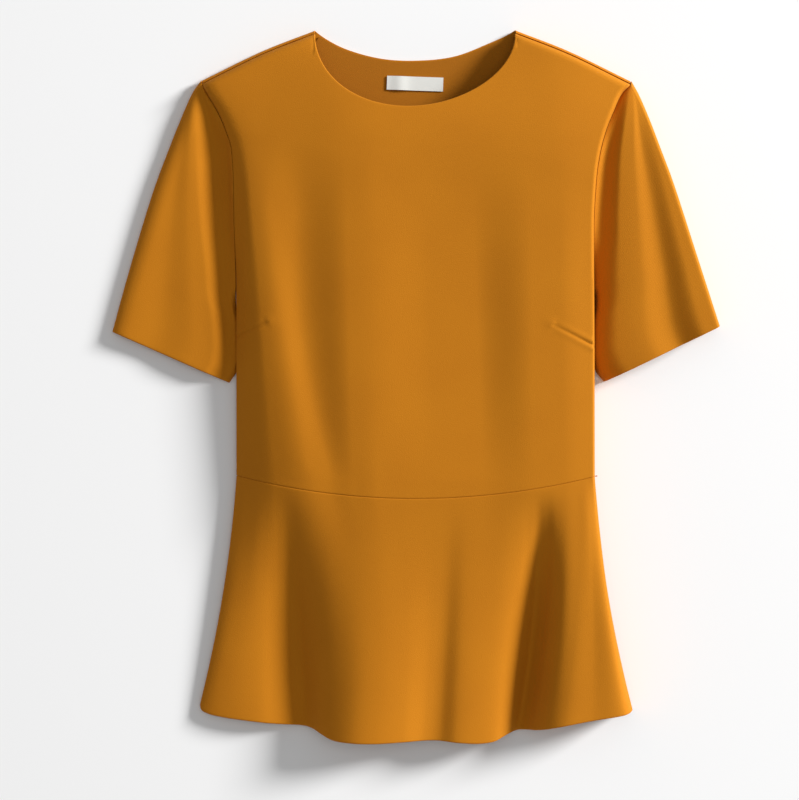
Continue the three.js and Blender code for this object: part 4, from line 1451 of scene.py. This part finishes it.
    def build(self, crepe: bpy.types.Material) -> bpy.types.Object:
        """Makes the sleeve, with its hem turned in."""
        grid = self.grid()
        ends = np.linspace(0, 1, grid.shape[1])
        from_end = np.clip(np.minimum(ends, 1 - ends) / self.hem_growth, 0, 1)
        shrink = lerp(self.least_hem, 1, from_end)
        hem = hem_profile(CLOTH.hem_roll, CLOTH.hem_depth)
        grid = turn_edge(grid, Edge.BOTTOM, hem, -1, shrink)
        piece = cloth_mesh(f"sleeve_{self.side.name.lower()}_cloth", grid, CLOTH.thickness)
        dress(piece, crepe, Slot.CREPE, self.cut)
        return piece


def sleeves() -> list[Sleeve]:
    """The two sleeves with their sizes."""
    left = Sleeve(
        side=Side.LEFT,
        front_roll=14.0,
        outer=(
            (-193.9, 275.9),
            (-201.0, 266.2),
            (-212.0, 242.0),
            (-223.6, 212.9),
            (-237.0, 176.7),
            (-259.0, 104.3),
            (-274.2, 49.3),
        ),
        under=(
            (-163.4, 80, 4.6),
            (-163.0, 70, 2.1),
            (-160.4, 55, 2.1),
            (-159.6, 30, 2.1),
            (-162.6, 13, 2.1),
            (-168.8, 3.0, 2.1),
        ),
        folds=(
            SleeveFold(0.14, 12, 0.02, 4.6),
            SleeveFold(0.46, 5.2, 0.06, 4.6),
            SleeveFold(0.88, 10.5, 0.21, 10.5),
            SleeveFold(0.92, 11, 0.36, 10.5),
            SleeveFold(0.95, 11, 0.64, 8.6),
            SleeveFold(0.98, 10.8, 0.88, 9.8),
        ),
    )
    right = Sleeve(
        side=Side.RIGHT,
        front_roll=4.0,
        outer=(
            (195.4, 275.2),
            (201.4, 264.0),
            (211.4, 240.0),
            (221.6, 212.9),
            (231.8, 185.8),
            (255.2, 113.4),
            (274.2, 54.2),
        ),
        under=(
            (162.4, 80, 4.6),
            (162.0, 70, 2.1),
            (159.4, 55, 2.1),
            (159.0, 30, 2.1),
            (163.8, 13, 2.1),
            (171.0, 3.9, 2.1),
        ),
        folds=(
            SleeveFold(0.2, 22, 0.02, 11),
            SleeveFold(0.48, 27, 0.2, 22),
            SleeveFold(0.64, 26.5, 0.42, 24),
            SleeveFold(0.76, 25, 0.64, 20.5),
            SleeveFold(0.9, 23.5, 0.86, 27.5),
        ),
    )
    return [left, right]


@dataclass(frozen=True)
class SoftLight:
    """Round soft light: its place and size in metres, and its power in watts."""

    name: str
    place: tuple[float, float, float]
    size: float
    power: float

    def build(self) -> None:
        """Adds the light, aimed at the middle of the garment."""
        bpy.ops.object.light_add(type="AREA", location=self.place)
        light = bpy.context.active_object
        light.name = self.name
        light.data.shape = "DISK"
        light.data.size = self.size
        light.data.energy = self.power
        light.visible_camera = False
        x, y, z = self.place
        turn = math.atan2(-y, -x) - math.pi / 2
        light.rotation_euler = (math.atan2(math.hypot(x, y), z), 0, turn)


@dataclass(frozen=True)
class Studio:
    """Pale floor, soft light from the right and a camera straight above."""

    camera_x: float = -14.5
    camera_y: float = -13.3
    camera_height: float = 2200.0
    picture_width: float = 725.7
    sensor: float = 36.0
    floor_size: float = 8.0
    floor_below: float = 0.05
    sky: float = 0.3
    sky_colour: str = "#ffffff"
    lights: tuple[SoftLight, ...] = (
        SoftLight("key_light", (8.2, 3.8, 3.4), 2.6, 1650.0),
        SoftLight("top_light", (0.6, 0.4, 7.0), 5.0, 60.0),
    )

    def floor(self, paper: bpy.types.Material) -> None:
        """Lays the floor just under the garment."""
        bpy.ops.object.select_all(action="DESELECT")
        place = (0, 0, -self.floor_below * MM)
        bpy.ops.mesh.primitive_plane_add(size=self.floor_size, location=place)
        floor = bpy.context.active_object
        floor.name = "floor"
        bpy.ops.object.transform_apply(location=True, rotation=True, scale=True)
        floor.data.materials.append(paper)

    def light(self) -> None:
        """Sets the soft lights, under an even dim sky."""
        for light in self.lights:
            light.build()
        world = bpy.data.worlds.new("studio")
        bpy.context.scene.world = world
        world.use_nodes = True
        back = world.node_tree.nodes["Background"]
        back.inputs["Color"].default_value = linear(self.sky_colour)
        back.inputs["Strength"].default_value = self.sky
        bpy.context.scene.view_settings.view_transform = "Standard"

    def camera(self) -> None:
        """Sets the camera straight above, with the photograph's frame."""
        data = bpy.data.cameras.new("camera")
        data.sensor_fit = "HORIZONTAL"
        data.sensor_width = self.sensor
        data.lens = self.sensor * self.camera_height / self.picture_width
        camera = bpy.data.objects.new("camera", data)
        camera.location = (self.camera_x * MM, self.camera_y * MM, self.camera_height * MM)
        bpy.context.scene.collection.objects.link(camera)
        bpy.context.scene.camera = camera


def main() -> None:
    """Builds the studio and the garment, piece by piece."""
    logging.basicConfig(level=logging.INFO, format="%(message)s")
    bpy.ops.object.select_all(action="DESELECT")
    studio = Studio()
    studio.camera()
    studio.light()
    studio.floor(PaperFloorFinish().material())

    crepe = CrepeFinish().material()
    # The facing's crepe is the ochre crepe darkened as painted shade. It stands in for the shade that
    # the front's raised neck edge casts inside the neck.
    shaded_inside_finish = CrepeFinish(name="ochre_crepe_painted_shade", light="#ad6a0c", dark="#9b5a07")
    inside = shaded_inside_finish.material()
    satin = SatinLabelFinish().material()

    bodice = Bodice(crepe)
    bodice.front()
    bodice.back()
    neck = NeckFinish(inside, satin)
    neck.facing(bodice.back_neck)
    neck.label()
    peplum = Peplum(crepe)
    peplum.front()
    peplum.back()
    for sleeve in sleeves():
        sleeve.build(crepe)


if __name__ == "__main__":
    main()
